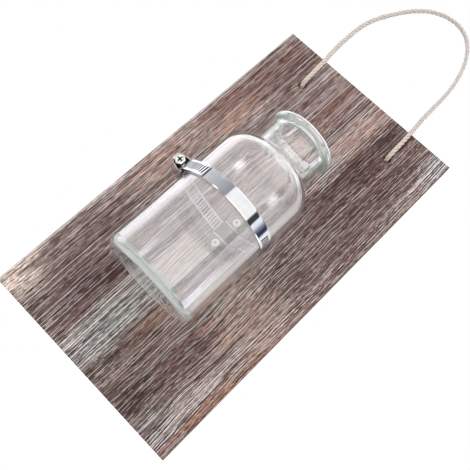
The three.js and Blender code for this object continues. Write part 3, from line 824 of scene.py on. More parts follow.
@dataclass(frozen=True)
class RopeLay:
    """How a three-strand rope is laid: its thickness, its twist and the fineness of its mesh."""

    diameter: float
    pitch: float
    strands: int = 3
    sides: int = 9
    step: float = 0.65 * MM
    thinning: float = 0.0
    thinnest: float = 0.68
    thin_reach: float = 0.22
    ride_share: float = 0.5
    strand_share: float = 0.53
    lumps: float = 0.07
    # How far out from the rope's middle the painted crease shade reaches, as a share of its radius.
    pressed: float = 0.42

    def radius_at(self, share: float) -> float:
        """The rope's radius at a share of its length: twine is drawn a little thinner in places."""
        off = (share - self.thinnest) / self.thin_reach
        return self.diameter / 2 * (1 - self.thinning * math.exp(-off * off))

    def line_frames(self, line: Sequence[Vector]) -> list[tuple[Vector, Vector, Vector]]:
        """Carries an untwisted frame along a line.

        Args:
            line: Points of the line.

        Returns:
            For each point, the direction and two sideways axes.
        """
        count = len(line)
        frames = []
        side = None
        for i in range(count):
            ahead = (line[min(i + 1, count - 1)] - line[max(i - 1, 0)]).normalized()
            if side is None:
                side = ahead.orthogonal()
            side = (side - ahead * side.dot(ahead)).normalized()
            frames.append((ahead, side, ahead.cross(side)))
        return frames

    def mesh(self, line: Sequence[Vector]) -> Mesh:
        """Lays the strands along a line.

        Args:
            line: Evenly spaced points of the rope's middle.

        Returns:
            The strands as closed tubes with a UV map and an attribute of painted shade where the strands
            press together.
        """
        bm = bmesh.new()
        uv = bm.loops.layers.uv.new("strand")
        crease_shade = bm.verts.layers.float.new("crease_shade")
        radii = [self.radius_at(i / len(line)) for i in range(len(line))]
        frames = self.line_frames(line)
        for strand in range(self.strands):
            middle = []
            for i, (point, (_, side, other)) in enumerate(zip(line, frames)):
                angle = TURN * (i * self.step / self.pitch + strand / self.strands)
                around = side * math.cos(angle) + other * math.sin(angle)
                middle.append(point + around * self.ride_share * radii[i])
            rings = []
            for i, (point, (_, side, other)) in enumerate(zip(middle, self.line_frames(middle))):
                ring = []
                for k in range(self.sides):
                    angle = TURN * k / self.sides
                    outward = side * math.cos(angle) + other * math.sin(angle)
                    lump = 1 + self.lumps * noise.noise(Vector((i * 0.21, 3.0 * k, 17.0 * strand)))
                    vert = bm.verts.new(point + outward * self.strand_share * radii[i] * lump)
                    # The crease share is painted shade, highest where a strand faces the rope's middle.
                    reach = (vert.co - line[i]).length / radii[i]
                    vert[crease_shade] = 1 - ease((reach - self.pressed) / self.pressed)
                    ring.append(vert)
                rings.append(ring)
            self.skin(bm, rings, uv)
        return bm

    def skin(self, bm: Mesh, rings: Sequence[Sequence[Vert]], uv: Layer) -> None:
        """Joins rings of points into one closed tube.

        Args:
            bm: The mesh that holds the points.
            rings: The rings in order.
            uv: The UV layer, which takes the share round and the metres along.
        """
        for i, (ring, following) in enumerate(zip(rings, rings[1:])):
            for k in range(self.sides):
                after = (k + 1) % self.sides
                face = bm.faces.new((ring[k], ring[after], following[after], following[k]))
                places = ((k, i), (k + 1, i), (k + 1, i + 1), (k, i + 1))
                for loop, (turn, step) in zip(face.loops, places):
                    loop[uv].uv = (turn / self.sides, step * self.step)
        bm.faces.new(tuple(reversed(rings[0])))
        bm.faces.new(tuple(rings[-1]))


def smooth_route(points: Sequence[Vector], step: float) -> list[Vector]:
    """Runs one smooth curve through points and spaces it evenly.

    Args:
        points: The points that the curve passes through.
        step: The wanted spacing.

    Returns:
        Evenly spaced points on a centripetal curve.
    """
    ends = [2 * points[0] - points[1], *points, 2 * points[-1] - points[-2]]
    fine = []
    share_steps = 24
    for before, start, end, after in zip(ends, ends[1:], ends[2:], ends[3:]):
        runs = (start - before, end - start, after - end)
        spans = [max(math.sqrt(run.length), 1e-6) for run in runs]
        leave = runs[0] / spans[0] - (end - before) / (spans[0] + spans[1]) + runs[1] / spans[1]
        arrive = runs[1] / spans[1] - (after - start) / (spans[1] + spans[2]) + runs[2] / spans[2]
        leave, arrive = leave * spans[1], arrive * spans[1]
        for i in range(share_steps):
            t = i / share_steps
            fine.append(
                start * (2 * t**3 - 3 * t**2 + 1) + leave * (t**3 - 2 * t**2 + t)
                + end * (3 * t**2 - 2 * t**3) + arrive * (t**3 - t**2)
            )
    fine.append(points[-1].copy())
    return even(fine, step)


def even(line: Sequence[Vector], step: float) -> list[Vector]:
    """Spaces a line's points evenly.

    Args:
        line: Points of the line.
        step: The wanted spacing.

    Returns:
        Points at that spacing, without the remainder at the end.
    """
    spaced = [line[0].copy()]
    left = step
    for start, end in zip(line, line[1:]):
        length = (end - start).length
        while left <= length:
            spaced.append(start.lerp(end, left / length))
            left += step
        left -= length
    return spaced


@dataclass
class RopeLoop:
    """The hanging rope: a loop that leaves the board by two holes and is knotted behind each."""

    finish: RopeFinish
    lay: RopeLay = RopeLay(4 * MM, 12.5 * MM, thinning=0.2)
    knot_lay: RopeLay = RopeLay(3.3 * MM, 10 * MM, step=0.5 * MM)
    length: float = 0.36
    fuzz_count: int = 1100
    fuzz_margin: int = 12
    fuzz_reach_mm: tuple[float, float] = (1.2, 4.2)
    fuzz_lift: tuple[float, float] = (0.12, 0.42)
    fuzz_lean: float = 0.9
    fuzz_root: float = 0.86
    fibre_steps: tuple[float, ...] = (0.0, 0.35, 0.7, 1.0)
    fibre_radius: float = 0.055 * MM
    fibre_taper: float = 0.75
    sharp: float = 75.0
    seed: int = 11
    route: tuple[tuple[float, float, float], ...] = (
        (-47, 6, -31.5), (-47, 2, -31.5), (-47, -1.5, -30), (-47.1, -3, -26.5), (-47.4, -3.2, -20),
        (-48.2, -2.8, -10), (-49.4, -2.4, 1), (-51, -1.6, 14), (-52, -0.3, 32), (-51.8, 1, 50),
        (-48.6, 2, 66), (-42, 3, 82), (-34, 4, 97), (-26.4, 4.6, 107), (-18, 5, 114), (-6, 5, 118.8),
        (7, 5, 118.8), (18.4, 5, 113.8), (27.4, 4.5, 104), (34.4, 3.6, 90.5), (39.6, 2.6, 73.5),
        (42.6, 1.4, 55.6), (43.4, 0.4, 41.4), (43.8, -0.8, 28), (44.6, -1.8, 14), (45.6, -2.4, 1),
        (46.4, -2.8, -10), (46.8, -3.2, -20), (47, -3, -26.5), (47, -1.5, -30), (47, 2, -31.5),
        (47, 6, -31.5),
    )

    def points(self) -> list[Vector]:
        """The route in the part's frame.

        Returns:
            Its points, which are given from the middle of the board's top front edge.
        """
        low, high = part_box("backing_board")
        start = Vector(((low[0] + high[0]) / 2, low[1], high[2]))
        return [start + Vector(point) * MM for point in self.route]

    def build(self) -> list[Piece]:
        """Builds the rope, its two knots and its fuzz.

        Returns:
            The pieces, the rope first.
        """
        material = self.finish.material()
        points = self.points()
        line = smooth_route(points, self.lay.step)
        rope = to_piece(self.lay.mesh(line), "hanging_rope", [material], self.sharp)
        place(rope, Body.BOARD, Slot.ROPE, "rope_loop")
        fuzz = to_piece(self.fuzz(line), "rope_fuzz", [material], ALL_SMOOTH)
        place(fuzz, Body.BOARD, Slot.ROPE)
        knots = []
        for side, node, end in zip(("left", "right"), KNOT_NODES, (points[0], points[-1])):
            mesh = self.knot_lay.mesh(self.knot_line(node, end))
            knot = to_piece(mesh, f"knot_{side}", [material], self.sharp)
            knots.append(place(knot, Body.BOARD, Slot.ROPE, node))
        hole = line[0].copy()
        hole.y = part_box("backing_board")[0][1]
        return [rope, fuzz, *knots]

    def knot_line(self, node: str, entry: Vector) -> list[Vector]:
        """The middle line of an overhand knot in its recess, with the rope's end left standing out.

        Args:
            node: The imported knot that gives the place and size.
            entry: Where the rope arrives from the front.

        Returns:
            Evenly spaced points.
        """
        low, high = corners(node)
        centre = (low + high) / 2
        half = self.knot_lay.diameter / 2
        wide = (high.x - low.x) / 2 - half
        deep = (high.y - low.y) / 2 - half
        points = [Vector((centre.x, entry.y, centre.z)), centre + Vector((0.1 * wide, -0.7 * deep, 0))]
        turns = 26
        for i in range(2, turns - 1):
            t = TURN * i / turns
            round_x = (math.sin(t) + 2 * math.sin(2 * t)) / 3
            round_z = (math.cos(t) - 2 * math.cos(2 * t)) / 3
            points.append(centre + Vector((wide * round_x, deep * math.sin(3 * t), wide * round_z)))
        points.append(centre + Vector((-0.25 * wide, 0.9 * deep, -0.2 * wide)))
        points.append(centre + Vector((-0.6 * wide, 1.05 * deep, 0.3 * wide)))
        return smooth_route(points, self.knot_lay.step)

    def fuzz(self, line: Sequence[Vector]) -> Mesh:
        """Loose fibres that stand off the rope.

        Args:
            line: The rope's middle line.

        Returns:
            Thin three-sided fibres, each tapered to its tip.
        """
        draw = random.Random(self.seed)
        bm = bmesh.new()
        uv = bm.loops.layers.uv.new("strand")
        frames = self.lay.line_frames(line)
        radius = self.lay.diameter / 2
        for _ in range(self.fuzz_count):
            i = draw.randrange(self.fuzz_margin, len(line) - self.fuzz_margin)
            ahead, side, other = frames[i]
            angle = draw.uniform(0, TURN)
            out = side * math.cos(angle) + other * math.sin(angle)
            lean = ahead * draw.choice((-1, 1))
            lean += ahead.cross(out) * draw.uniform(-self.fuzz_lean, self.fuzz_lean)
            reach = draw.uniform(*self.fuzz_reach_mm) * MM
            lift = draw.uniform(*self.fuzz_lift)
            points = []
            for t in self.fibre_steps:
                curl = out * (radius * self.fuzz_root + reach * lift * t * (1.4 - 0.7 * t))
                points.append(line[i] + curl + lean * reach * t)
            self.fibre(bm, points, ahead, uv)
        return bm

    def fibre(self, bm: Mesh, points: Sequence[Vector], along: Vector, uv: Layer) -> None:
        """One tapered fibre through a few points.

        Args:
            bm: The mesh that takes it.
            points: Its middle line.
            along: The rope's direction, for the fibre's section.
            uv: The UV layer.
        """
        sides = 3
        first = (points[1] - points[0]).normalized()
        side = first.cross(along.orthogonal()).normalized()
        other = first.cross(side)
        rings = []
        for step, point in enumerate(points):
            size = self.fibre_radius * (1 - self.fibre_taper * step / (len(points) - 1))
            angles = [TURN * k / sides for k in range(sides)]
            around = [side * math.cos(a) + other * math.sin(a) for a in angles]
            rings.append([bm.verts.new(point + outward * size) for outward in around])
        for ring, following in zip(rings, rings[1:]):
            for k in range(sides):
                after = (k + 1) % sides
                face = bm.faces.new((ring[k], ring[after], following[after], following[k]))
                for loop in face.loops:
                    loop[uv].uv = (k / sides, points[0].z)
        bm.faces.new(tuple(reversed(rings[0])))
        bm.faces.new(tuple(rings[-1]))


# Board

@dataclass(frozen=True)
class Groove:
    """One layer of the brushed relief: how often it turns across and along, its own shift and its share."""

    across: float
    along: float
    shift: float
    share: float


@dataclass
class Board:
    """The backing board: two glued staves with a brushed face, rope holes and recesses for the knots."""

    face: WoodFinish
    back: WoodFinish
    grain: NodeTree
    ease_width: float = 0.9 * MM
    columns: int = 232
    rows: int = 74
    relief: float = 0.16 * MM
    mean_depth: float = 0.25
    grooves: tuple[Groove, ...] = (
        Groove(0.42, 16, 0, 0.55), Groove(0.62, 45, 9, 0.35), Groove(0.06, 5, 5, 0.25)
    )
    stave_shift: float = 40.0
    stave_sway: tuple[float, float] = (3.0, 9.0)
    glue_line: float = GLUE_LINE_MM * MM
    seam_reach: float = 0.8 * MM
    seam_depth: float = 0.9
    hole_radius: float = 3.5 * MM
    hole_ease: float = 1.0 * MM
    recess_radius: float = 7.0 * MM
    recess_depth: float = 9.0 * MM
    pilot_radius: float = 1.9 * MM
    pilot_depth: float = 12.3 * MM
    sharp: float = 50.0

    def build(self) -> Piece:
        """Builds the board.

        Returns:
            The piece.
        """
        low, high = corners("backing_board")
        bm = self.block(low, high)
        woods = [wood.material(self.grain) for wood in (self.face, self.back)]
        board = to_piece(bm, "board", woods, self.sharp)
        carve(board, self.cutters(low))
        self.mark(board, low)
        shade(board, self.sharp)
        return place(board, Body.BOARD, Slot.WOOD, "backing_board")

    def block(self, low: Vector, high: Vector) -> Mesh:
        """The eased block, with the brushed relief on its front.

        Args:
            low: The board's lowest corner.
            high: Its highest corner.

        Returns:
            A closed mesh.
        """
        bm = bmesh.new()
        size = high - low
        middle = (low + high) / 2
        flat = Matrix.Rotation(math.pi / 2, 4, "X")
        inner = Vector((size.x - 2 * self.ease_width, size.z - 2 * self.ease_width))
        rims = []
        for y, outward in ((low.y, 1), (high.y, -1)):
            scale = Matrix.Diagonal((inner.x, 1.0, inner.y, 1.0))
            seat = Matrix.Translation((middle.x, y, middle.z)) @ scale @ flat
            sheet = bmesh.ops.create_grid(
                bm, x_segments=self.columns, y_segments=self.rows, size=0.5, matrix=seat
            )["verts"]
            if outward > 0:
                for vert in sheet:
                    vert.co.y += self.hollow(vert.co.x, vert.co.z) * self.relief
            rim = [e for v in sheet for e in v.link_edges if e.is_boundary]
            rims += self.eased(bm, list(dict.fromkeys(rim)), middle, inner, outward)
        bmesh.ops.bridge_loops(bm, edges=rims)
        bmesh.ops.recalc_face_normals(bm, faces=bm.faces)
        return bm

    def eased(
        self, bm: Mesh, rim: list[Edge], middle: Vector, inner: Vector, outward: int
    ) -> list[Edge]:
        """Rounds a sheet's rim over to the board's full outline.

        Args:
            bm: The mesh.
            rim: The sheet's boundary edges.
            middle: The board's middle.
            inner: Width and height of the flat sheet.
            outward: 1 for the front and -1 for the back.

        Returns:
            The new boundary edges.
        """
        steps = 3
        last = (inner.x, inner.y, 0.0)
        for i in range(1, steps + 1):
            angle = math.pi / 2 * i / steps
            grow = 2 * self.ease_width * math.sin(angle)
            drop = self.ease_width * (1 - math.cos(angle))
            made = bmesh.ops.extrude_edge_only(bm, edges=rim)["geom"]
            verts = points_of(made)
            rim = [g for g in made if isinstance(g, Edge)]
            factors = ((inner.x + grow) / last[0], 1.0, (inner.y + grow) / last[1])
            bmesh.ops.scale(bm, vec=factors, verts=verts, space=Matrix.Translation(-middle))
            bmesh.ops.translate(bm, vec=(0, outward * (drop - last[2]), 0), verts=verts)
            last = (inner.x + grow, inner.y + grow, drop)
        return [e for e in rim if e.is_boundary]

    def hollow(self, x: float, z: float) -> float:
        """Depth of the brushed grain at a place on the face.

        Args:
            x: Place across the board.
            z: Place along the board.

        Returns:
            A share from 0, proud, to 1, deepest.
        """
        right_stave = x > self.glue_line
        shift = self.stave_shift if right_stave else 0.0
        across = x / MM + noise.noise(Vector((x * 22, shift, z * 7))) * self.stave_sway[right_stave]
        depth = self.mean_depth
        for groove in self.grooves:
            spot = Vector((across * groove.across, shift + groove.shift, z * groove.along))
            depth += groove.share * noise.noise(spot)
        seam = max(0.0, 1 - abs(x - self.glue_line) / self.seam_reach)
        return max(ease(depth), self.seam_depth * seam)

    def cutters(self, low: Vector) -> Mesh:
        """The rope holes with eased mouths and knot recesses, and the pilot holes of the screws.

        Args:
            low: The board's lowest corner, whose y is the front.

        Returns:
            Closed cutters.
        """
        bm = bmesh.new()
        past = 2 * MM
        depth = -low.y
        flare = self.hole_ease
        bore = [
            (0.0, -past), (self.hole_radius + 2.2 * flare, -past), (self.hole_radius + flare, 0.0),
            (self.hole_radius + 0.35 * flare, 0.4 * flare), (self.hole_radius, 1.2 * flare),
            (self.hole_radius, depth - self.recess_depth), (self.recess_radius, depth - self.recess_depth),
            (self.recess_radius, depth + past), (0.0, depth + past),
        ]
        pilot = [
            (0.0, -past), (self.pilot_radius, -past),
            (self.pilot_radius, self.pilot_depth), (0.0, self.pilot_depth),
        ]
        places = [(bore, node) for node in KNOT_NODES]
        places += [(pilot, node) for node in SCREW_NODES]
        for profile, node in places:
            middle = middle_of(node)
            seat = Matrix.Translation((middle.x, low.y, middle.z))
            tool = turned(profile, ROUND_STEPS)
            tool.transform(seat @ Matrix.Rotation(-math.pi / 2, 4, "X"))
            absorb(bm, tool)
        return bm

    def mark(self, board: Piece, low: Vector) -> None:
        """Stores the grain's depth on the face and gives the back and the holes the plain finish.

        Args:
            board: The carved board.
            low: Its lowest corner.
        """
        mesh = board.data
        layer = mesh.attributes.new("hollow", "FLOAT", "POINT")
        for vert, item in zip(mesh.vertices, layer.data):
            on_face = vert.co.y < low.y + 2 * self.relief
            item.value = self.hollow(vert.co.x, vert.co.z) if on_face else 0.3
        holes = [middle_of(node) for node in KNOT_NODES]
        for face in mesh.polygons:
            at = face.center
            in_hole = any(math.hypot(at.x - h.x, at.z - h.z) < 1.01 * self.recess_radius for h in holes)
            inside = in_hole and at.y > low.y + 0.5 * MM
            face.material_index = 1 if inside or face.normal.y > 0.7 else 0


# Bottle

@dataclass
class Bottle:
    """The clear bottle: straight body, round shoulder, short neck and a rolled lip."""

    finish: GlassFinish
    # The foot and lip finishes are hazier glass, whose pale haze is painted sheen.
    foot: GlassFinish
    lip: GlassFinish
    marks: NodeTree
    foot_height: float = 2.7 * MM
    wall: float = 3.0 * MM
    body_height: float = 107.0 * MM
    base_corner: float = 6.0 * MM
    base_thickness: float = 4.5 * MM
    punt_radius: float = 28.0 * MM
    punt_rise: float = 2.0 * MM
    foot_ring: float = 0.6 * MM
    shoulder_radius: float = 19.0 * MM
    neck_radius: float = 23.5 * MM
    neck_fillet: float = 4.0 * MM
    lip_height: float = 6.5 * MM
    lip_radius: float = 28.2 * MM
    wave: float = 0.22 * MM
    wave_length: float = 16 * MM
    punt_steps: tuple[float, ...] = (0, 0.2, 0.4, 0.6, 0.8, 0.93)
    under_rings: tuple[tuple[float, float], ...] = (
        (0, 0), (0.3, 0), (0.56, 0), (0.62, 0.5), (0.68, 0), (0.78, 0), (0.84, 0.5), (0.9, 0), (0.95, 0)
    )
    wall_steps: tuple[float, ...] = (0.2, 0.35, 0.5, 0.65, 0.8, 0.92)
    steps: int = 120

    def build(self) -> Piece:
        """Builds the bottle on its packed axis.

        Returns:
            The piece.
        """
        low, high = corners("glass_bottle")
        radius = (high.x - low.x) / 2
        bm = turned(self.profile(radius, high.z - low.z), self.steps)
        self.ripple(bm, radius)
        middle = middle_of("glass_bottle")
        bm.transform(Matrix.Translation((middle.x, middle.y, low.z)))
        glasses = [glass.material(self.marks) for glass in (self.finish, self.foot, self.lip)]
        bottle = to_piece(bm, "bottle", glasses, ALL_SMOOTH)
        # The foot and the lip take the hazier glass, painted sheen for the light the thick glass gathers.
        for face in bottle.data.polygons:
            on_foot = face.center.z < low.z + self.foot_height
            on_lip = face.center.z > high.z - self.lip_height
            face.material_index = 1 if on_foot else 2 if on_lip else 0
        return place(bottle, Body.BOTTLE, Slot.GLASS, "glass_bottle")

    def profile(self, radius: float, height: float) -> list[tuple[float, float]]:
        """The wall's closed outline, up the outside and down the inside.

        Args:
            radius: Outside radius of the body.
            height: Height from the foot to the lip's top.

        Returns:
            Points of radius and height.
        """
        quarter = math.pi / 2
        shoulder = (radius - self.shoulder_radius, self.body_height)
        fillet_x = self.neck_radius + self.neck_fillet
        reach = self.shoulder_radius + self.neck_fillet
        fillet = (fillet_x, self.body_height + math.sqrt(reach**2 - (fillet_x - shoulder[0]) ** 2))
        meeting = math.atan2(fillet[1] - shoulder[1], fillet[0] - shoulder[0])
        round_lip = self.lip_height / 2
        lip = (self.lip_radius - round_lip, height - round_lip)
        rim = self.wall / 2
        corner = self.base_corner - rim
        inner = radius - self.wall
        floor = self.base_thickness
        punt = [(self.punt_radius * s, self.punt_rise * (1 - s**2)) for s in self.punt_steps]
        under = [
            (self.punt_radius * s, self.punt_rise * (1 - s**2) + lift * MM) for s, lift in self.under_rings
        ]
        straight = [shoulder[1] * s for s in self.wall_steps]
        neck = (self.neck_radius, height - 1.25 * self.lip_height)
        return [
            *under,
            (self.punt_radius + self.foot_ring, 0.0),
            *arc((radius - self.base_corner, self.base_corner), self.base_corner, -quarter, 0, 10),
            *[(radius, z) for z in straight],
            *arc(shoulder, self.shoulder_radius, 0, meeting, 20),
            *arc(fillet, self.neck_fillet, meeting + math.pi, math.pi, 8)[1:],
            neck,
            *arc(lip, round_lip, -quarter, quarter, 14),
            *arc((self.neck_radius - self.wall + rim, height - rim), rim, quarter, math.pi, 6),
            (self.neck_radius - self.wall, neck[1]),
            *arc(fillet, self.neck_fillet + self.wall, math.pi, meeting + math.pi, 10),
            *arc(shoulder, self.shoulder_radius - self.wall, meeting, 0, 20)[1:],
            *[(inner, z) for z in reversed(straight)],
            *arc((inner - corner, floor + corner), corner, 0, -quarter, 10),
            *[(r, floor + z) for r, z in reversed(punt)],
        ]

    def ripple(self, bm: Mesh, radius: float) -> None:
        """Gives the inside of the wall the slow waves that hot glass keeps.

        Args:
            bm: The bottle's mesh, on its own axis.
            radius: Outside radius of the body.
        """
        top = self.body_height + self.shoulder_radius
        for vert in bm.verts:
            out = math.hypot(vert.co.x, vert.co.y)
            inside = out < radius - 0.5 * self.wall and self.base_thickness * 1.6 < vert.co.z < top
            if inside and out > self.neck_radius - self.wall - MM:
                at = vert.co / self.wave_length
                push = self.wave * (noise.noise(at) + 0.6 * noise.noise(2.1 * at + Vector((5, 5, 5))))
                vert.co.x += vert.co.x / out * push
                vert.co.y += vert.co.y / out * push


# Clamp

@dataclass(frozen=True)
class SlotRow:
    """The slanted slots of the band that the worm's thread bites into."""

    pitch: float = 2.65 * MM
    width: float = 1.3 * MM
    slant: float = math.atan(2.65 / (math.pi * 8.0))
    round_share: float = 0.24


@dataclass
class StripLine:
    """A line in the clamp's plane that a strip of band follows, with its places counted along it."""

    points: list[Vector]
    lengths: list[float] = field(init=False)

    def __post_init__(self) -> None:
        """Counts the length up to each point."""
        self.lengths = [0.0]
        for start, end in zip(self.points, self.points[1:]):
            self.lengths.append(self.lengths[-1] + (end - start).length)

    @property
    def total(self) -> float:
        """The line's whole length."""
        return self.lengths[-1]

    def at(self, along: float) -> tuple[Vector, Vector]:
        """A place on the line.

        Args:
            along: Length from the start.

        Returns:
            The point and the direction there, both in the clamp's plane.
        """
        low, high = 0, len(self.lengths) - 2
        while low < high:
            half = (low + high + 1) // 2
            if self.lengths[half] <= along:
                low = half
            else:
                high = half - 1
        start, end = self.points[low], self.points[low + 1]
        share = (along - self.lengths[low]) / max(self.lengths[low + 1] - self.lengths[low], 1e-9)
        ahead = self.points[min(low + 2, len(self.points) - 1)] - start
        behind = end - self.points[max(low - 1, 0)]
        direction = behind.lerp(ahead, min(max(share, 0.0), 1.0)).normalized()
        return start.lerp(end, share), direction


@dataclass
class BandClamp:
    """The worm-drive clamp: a slotted band with its free end, a housing and a screw with a hex head."""

    band_finish: SteelFinish
    # Dark steel of the cut slot walls, which also serves as painted shade in the slots, the recesses and the
    # housing's end.
    cut_and_shade_finish: SteelFinish
    housing_finish: SteelFinish
    worm_finish: SteelFinish
    marks: NodeTree
    slots: SlotRow = SlotRow()
    thickness: float = 0.7 * MM
    loop_radius: float = 39.15 * MM
    tail_radius: float = 42.35 * MM
    tip_radius: float = 40.35 * MM
    flat_out: float = 40.65 * MM
    strap_room: float = 0.3 * MM
    worm_angle: float = math.radians(85)
    recess_reach: float = 2.4 * MM
    recess_depth: tuple[float, float] = (0.12 * MM, 1.75 * MM)
    rim: float = 1.7 * MM
    rim_half: float = 5.3 * MM
    rim_foot: float = 38.8 * MM
    rim_waist: float = 43.0 * MM
    rim_arch: tuple[float, float] = (46.45 * MM, 4.35 * MM)
    fixed_end: float = math.radians(94.51)
    ramp: tuple[float, float] = (math.radians(146), math.radians(108))
    loop_end: float = math.radians(94.1)
    tail_end: float = math.radians(87.5)
    tail_bend: tuple[float, float] = (math.radians(68), math.radians(50))
    tail_tip: float = math.radians(29)
    slot_start: float = math.radians(-61)
    rows: tuple[float, ...] = (-5.0, -4.2, -3.3, -2.85, -1.4, 0.0, 1.4, 2.85, 3.3, 4.2, 5.0)
    row_slot: float = 3.3
    row_full: float = 2.85
    arc_step: float = math.radians(0.6)
    flat_step: float = 0.5 * MM
    plain_step: float = 0.9 * MM
    run_in: float = 0.45 * MM
    run_out: float = 0.2 * MM
    end_room: float = 0.3 * MM
    tail_margins: tuple[float, float] = (0.7 * MM, 0.9 * MM)
    edge: float = 0.08 * MM
    plate_edge: float = 0.15 * MM
    housing_edge: float = 0.12 * MM
    worm_edge: float = 0.1 * MM
    # How deep the sheets of painted shade in the free end's slots sit, as a share of the band's thickness.
    shade_floor_share: float = 0.15
    sharp: float = 32.0
    seat: Matrix = field(init=False)

    def build(self) -> list[Piece]:
        """Builds the clamp.

        Returns:
            Its pieces.
        """
        axis = middle_of("glass_bottle")
        self.seat = Matrix.Translation((axis.x, axis.y, middle_of("clamp_band").z))
        band = self.band_finish.material(self.marks)
        # The dark finish is partly dull cut steel and partly painted shade.
        cut = self.cut_and_shade_finish.material(self.marks)
        dull = self.housing_finish.material(self.marks)
        zinc = self.worm_finish.material(self.marks)
        return [
            place(self.loop([band, cut]), Body.BOARD, Slot.BAND, "clamp_band"),
            place(self.tail([band, cut]), Body.TAIL, Slot.BAND, "band_tail"),
            place(self.housing([dull, cut]), Body.BOARD, Slot.HOUSING, "worm_housing"),
            place(self.plate([band]), Body.BOARD, Slot.BAND, "housing_plate"),
            place(self.worm([zinc, cut]), Body.WORM, Slot.HOUSING, "worm_screw"),
        ]

    @property
    def ahead(self) -> Vector:
        """Direction of the worm, from the housing to the screw's head."""
        return Vector((math.cos(self.worm_angle), -math.sin(self.worm_angle), 0.0))

    def housing(self, materials: list[Material]) -> Piece:
        """The screw's housing, its sheet drawn out into a rim round its front end, whose inside is painted
        dark as shade.

        Args:
            materials: Its finish and the dark finish painted as shade inside the rim.

        Returns:
            The piece.
        """
        bm = merged_copy("worm_housing", 0.0)
        front = max(vert.co.dot(self.ahead) for vert in bm.verts)
        ends = [f for f in bm.faces if f.calc_center_median().dot(self.ahead) > front - 0.05 * MM]
        drawn = bmesh.ops.extrude_face_region(bm, geom=ends)["geom"]
        bmesh.ops.translate(bm, vec=self.ahead * self.rim, verts=points_of(drawn))
        bmesh.ops.recalc_face_normals(bm, faces=bm.faces)
        housing = to_piece(bm, "screw_housing", materials, self.sharp)
        # The pocket's cut faces take the dark finish as painted shade inside the rim.
        carve(housing, self.rim_pocket(front), 1)
        round_edges(housing, self.housing_edge, 2, 35)
        shade(housing, self.sharp)
        return housing

    def plate(self, materials: list[Material]) -> Piece:
        """The plate between the housing's lips and the band's free end."""
        return to_piece(merged_copy("housing_plate", self.plate_edge), "tongue_plate", materials, self.sharp)

    def rim_pocket(self, front: float) -> Mesh:
        """Cutter for the space inside the housing's rim: straight sides under an arch over the worm.

        Args:
            front: How far along the worm the housing's end wall lies.

        Returns:
            The closed cutter in its place.
        """
        middle, radius = self.rim_arch
        foot = self.rim_foot - MM
        outline = [
            (self.rim_half, foot), (self.rim_half, self.rim_waist),
            *arc((0.0, middle), radius, 0, math.pi, 16),
            (-self.rim_half, self.rim_waist), (-self.rim_half, foot),
        ]
        out = self.around(1.0, self.worm_angle).to_3d()
        turn = Matrix((Vector((0, 0, 1)), out, self.ahead)).transposed().to_4x4()
        bm = bmesh.new()
        face = bm.faces.new([bm.verts.new((up, away, 0.0)) for up, away in outline])
        grown = bmesh.ops.extrude_face_region(bm, geom=[face], use_keep_orig=True)["geom"]
        bmesh.ops.translate(bm, vec=(0, 0, 2 * self.rim), verts=points_of(grown))
        bmesh.ops.recalc_face_normals(bm, faces=bm.faces)
        seat = self.seat.translation
        bm.transform(Matrix.Translation(seat + self.ahead * (front - seat.dot(self.ahead))) @ turn)
        return bm

    def worm(self, materials: list[Material]) -> Piece:
        """The worm, with the recess in its head painted dark as shade.

        Args:
            materials: Its finish and the dark finish painted as shade in the recess.

        Returns:
            The piece.
        """
        worm = to_piece(merged_copy("worm_screw", self.worm_edge), "worm", materials, self.sharp)
        middle = middle_of("worm_screw")
        top = max((vert.co - middle).dot(self.ahead) for vert in worm.data.vertices)
        # Faces inside the head's recess take the dark finish as painted shade.
        for face in worm.data.polygons:
            spot = face.center - middle
            along = spot.dot(self.ahead)
            deep = self.recess_depth[0] < top - along < self.recess_depth[1]
            face.material_index = 1 if deep and (spot - self.ahead * along).length < self.recess_reach else 0
        return worm

    def around(self, radius: float, angle: float) -> Vector:
        """A point round the bottle's axis: the angle runs from the front to the left."""
        return Vector((-radius * math.sin(angle), -radius * math.cos(angle)))

    def sweep(self, start: float, end: float, first: float, last: float) -> list[Vector]:
        """Points round the bottle, with an even change of radius.

        Args:
            start: Start angle.
            end: End angle.
            first: Radius at the start.
            last: Radius at the end.

        Returns:
            The points, both ends included.
        """
        count = max(2, round(abs(end - start) / self.arc_step))
        return [
            self.around(first + (last - first) * ease(i / count), start + (end - start) * i / count)
            for i in range(count + 1)
        ]

    def loop_line(self) -> StripLine:
        """The loop's middle line: round the front, straight behind the strap and up into the housing.

        Returns:
            The line, from under the housing round to the worm.
        """
        strap_left, strap_right = (corner[0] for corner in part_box("band_saddle"))
        right, left = strap_right + self.strap_room, strap_left - self.strap_room
        leave_right = math.atan2(right, self.flat_out) + self.turn_off(right) - math.pi
        leave_left = math.atan2(left, self.flat_out) - self.turn_off(left) + math.pi
        front = self.sweep(self.fixed_end, leave_right, self.loop_radius, self.loop_radius)
        back = self.sweep(leave_left, self.ramp[0], self.loop_radius, self.loop_radius)
        bends = [front[-1], Vector((right, self.flat_out)), Vector((left, self.flat_out)), back[0]]
        straight = smooth_route([bend.to_3d() for bend in bends], self.flat_step)
        rise = self.sweep(*self.ramp, self.loop_radius, self.tail_radius)
        inside = self.sweep(self.ramp[1], self.loop_end, self.tail_radius, self.tail_radius)
        behind = [point.to_2d() for point in straight[1:]]
        return StripLine([*front, *behind, *back[1:], *rise[1:], *inside[1:]])

    def turn_off(self, side: float) -> float:
        """Angle between a corner of the straight run and where the band leaves the bottle for it."""
        return math.acos(self.loop_radius / math.hypot(side, self.flat_out))

    def loop(self, materials: list[Material]) -> Piece:
        """The loop of band, plain across the front and slotted round the back.

        Args:
            materials: Its finish and the dark finish of the slots' cut edges, dull steel darkened further as
                painted shade.

        Returns:
            The piece.
        """
        line = self.loop_line()
        plain = (self.fixed_end - self.slot_start) * self.loop_radius
        places = []
        place_along = line.total - self.slots.pitch / 2
        while place_along > plain:
            places.append(place_along)
            place_along -= self.slots.pitch
        return to_piece(self.strip(line, sorted(places)), "band_loop", materials)

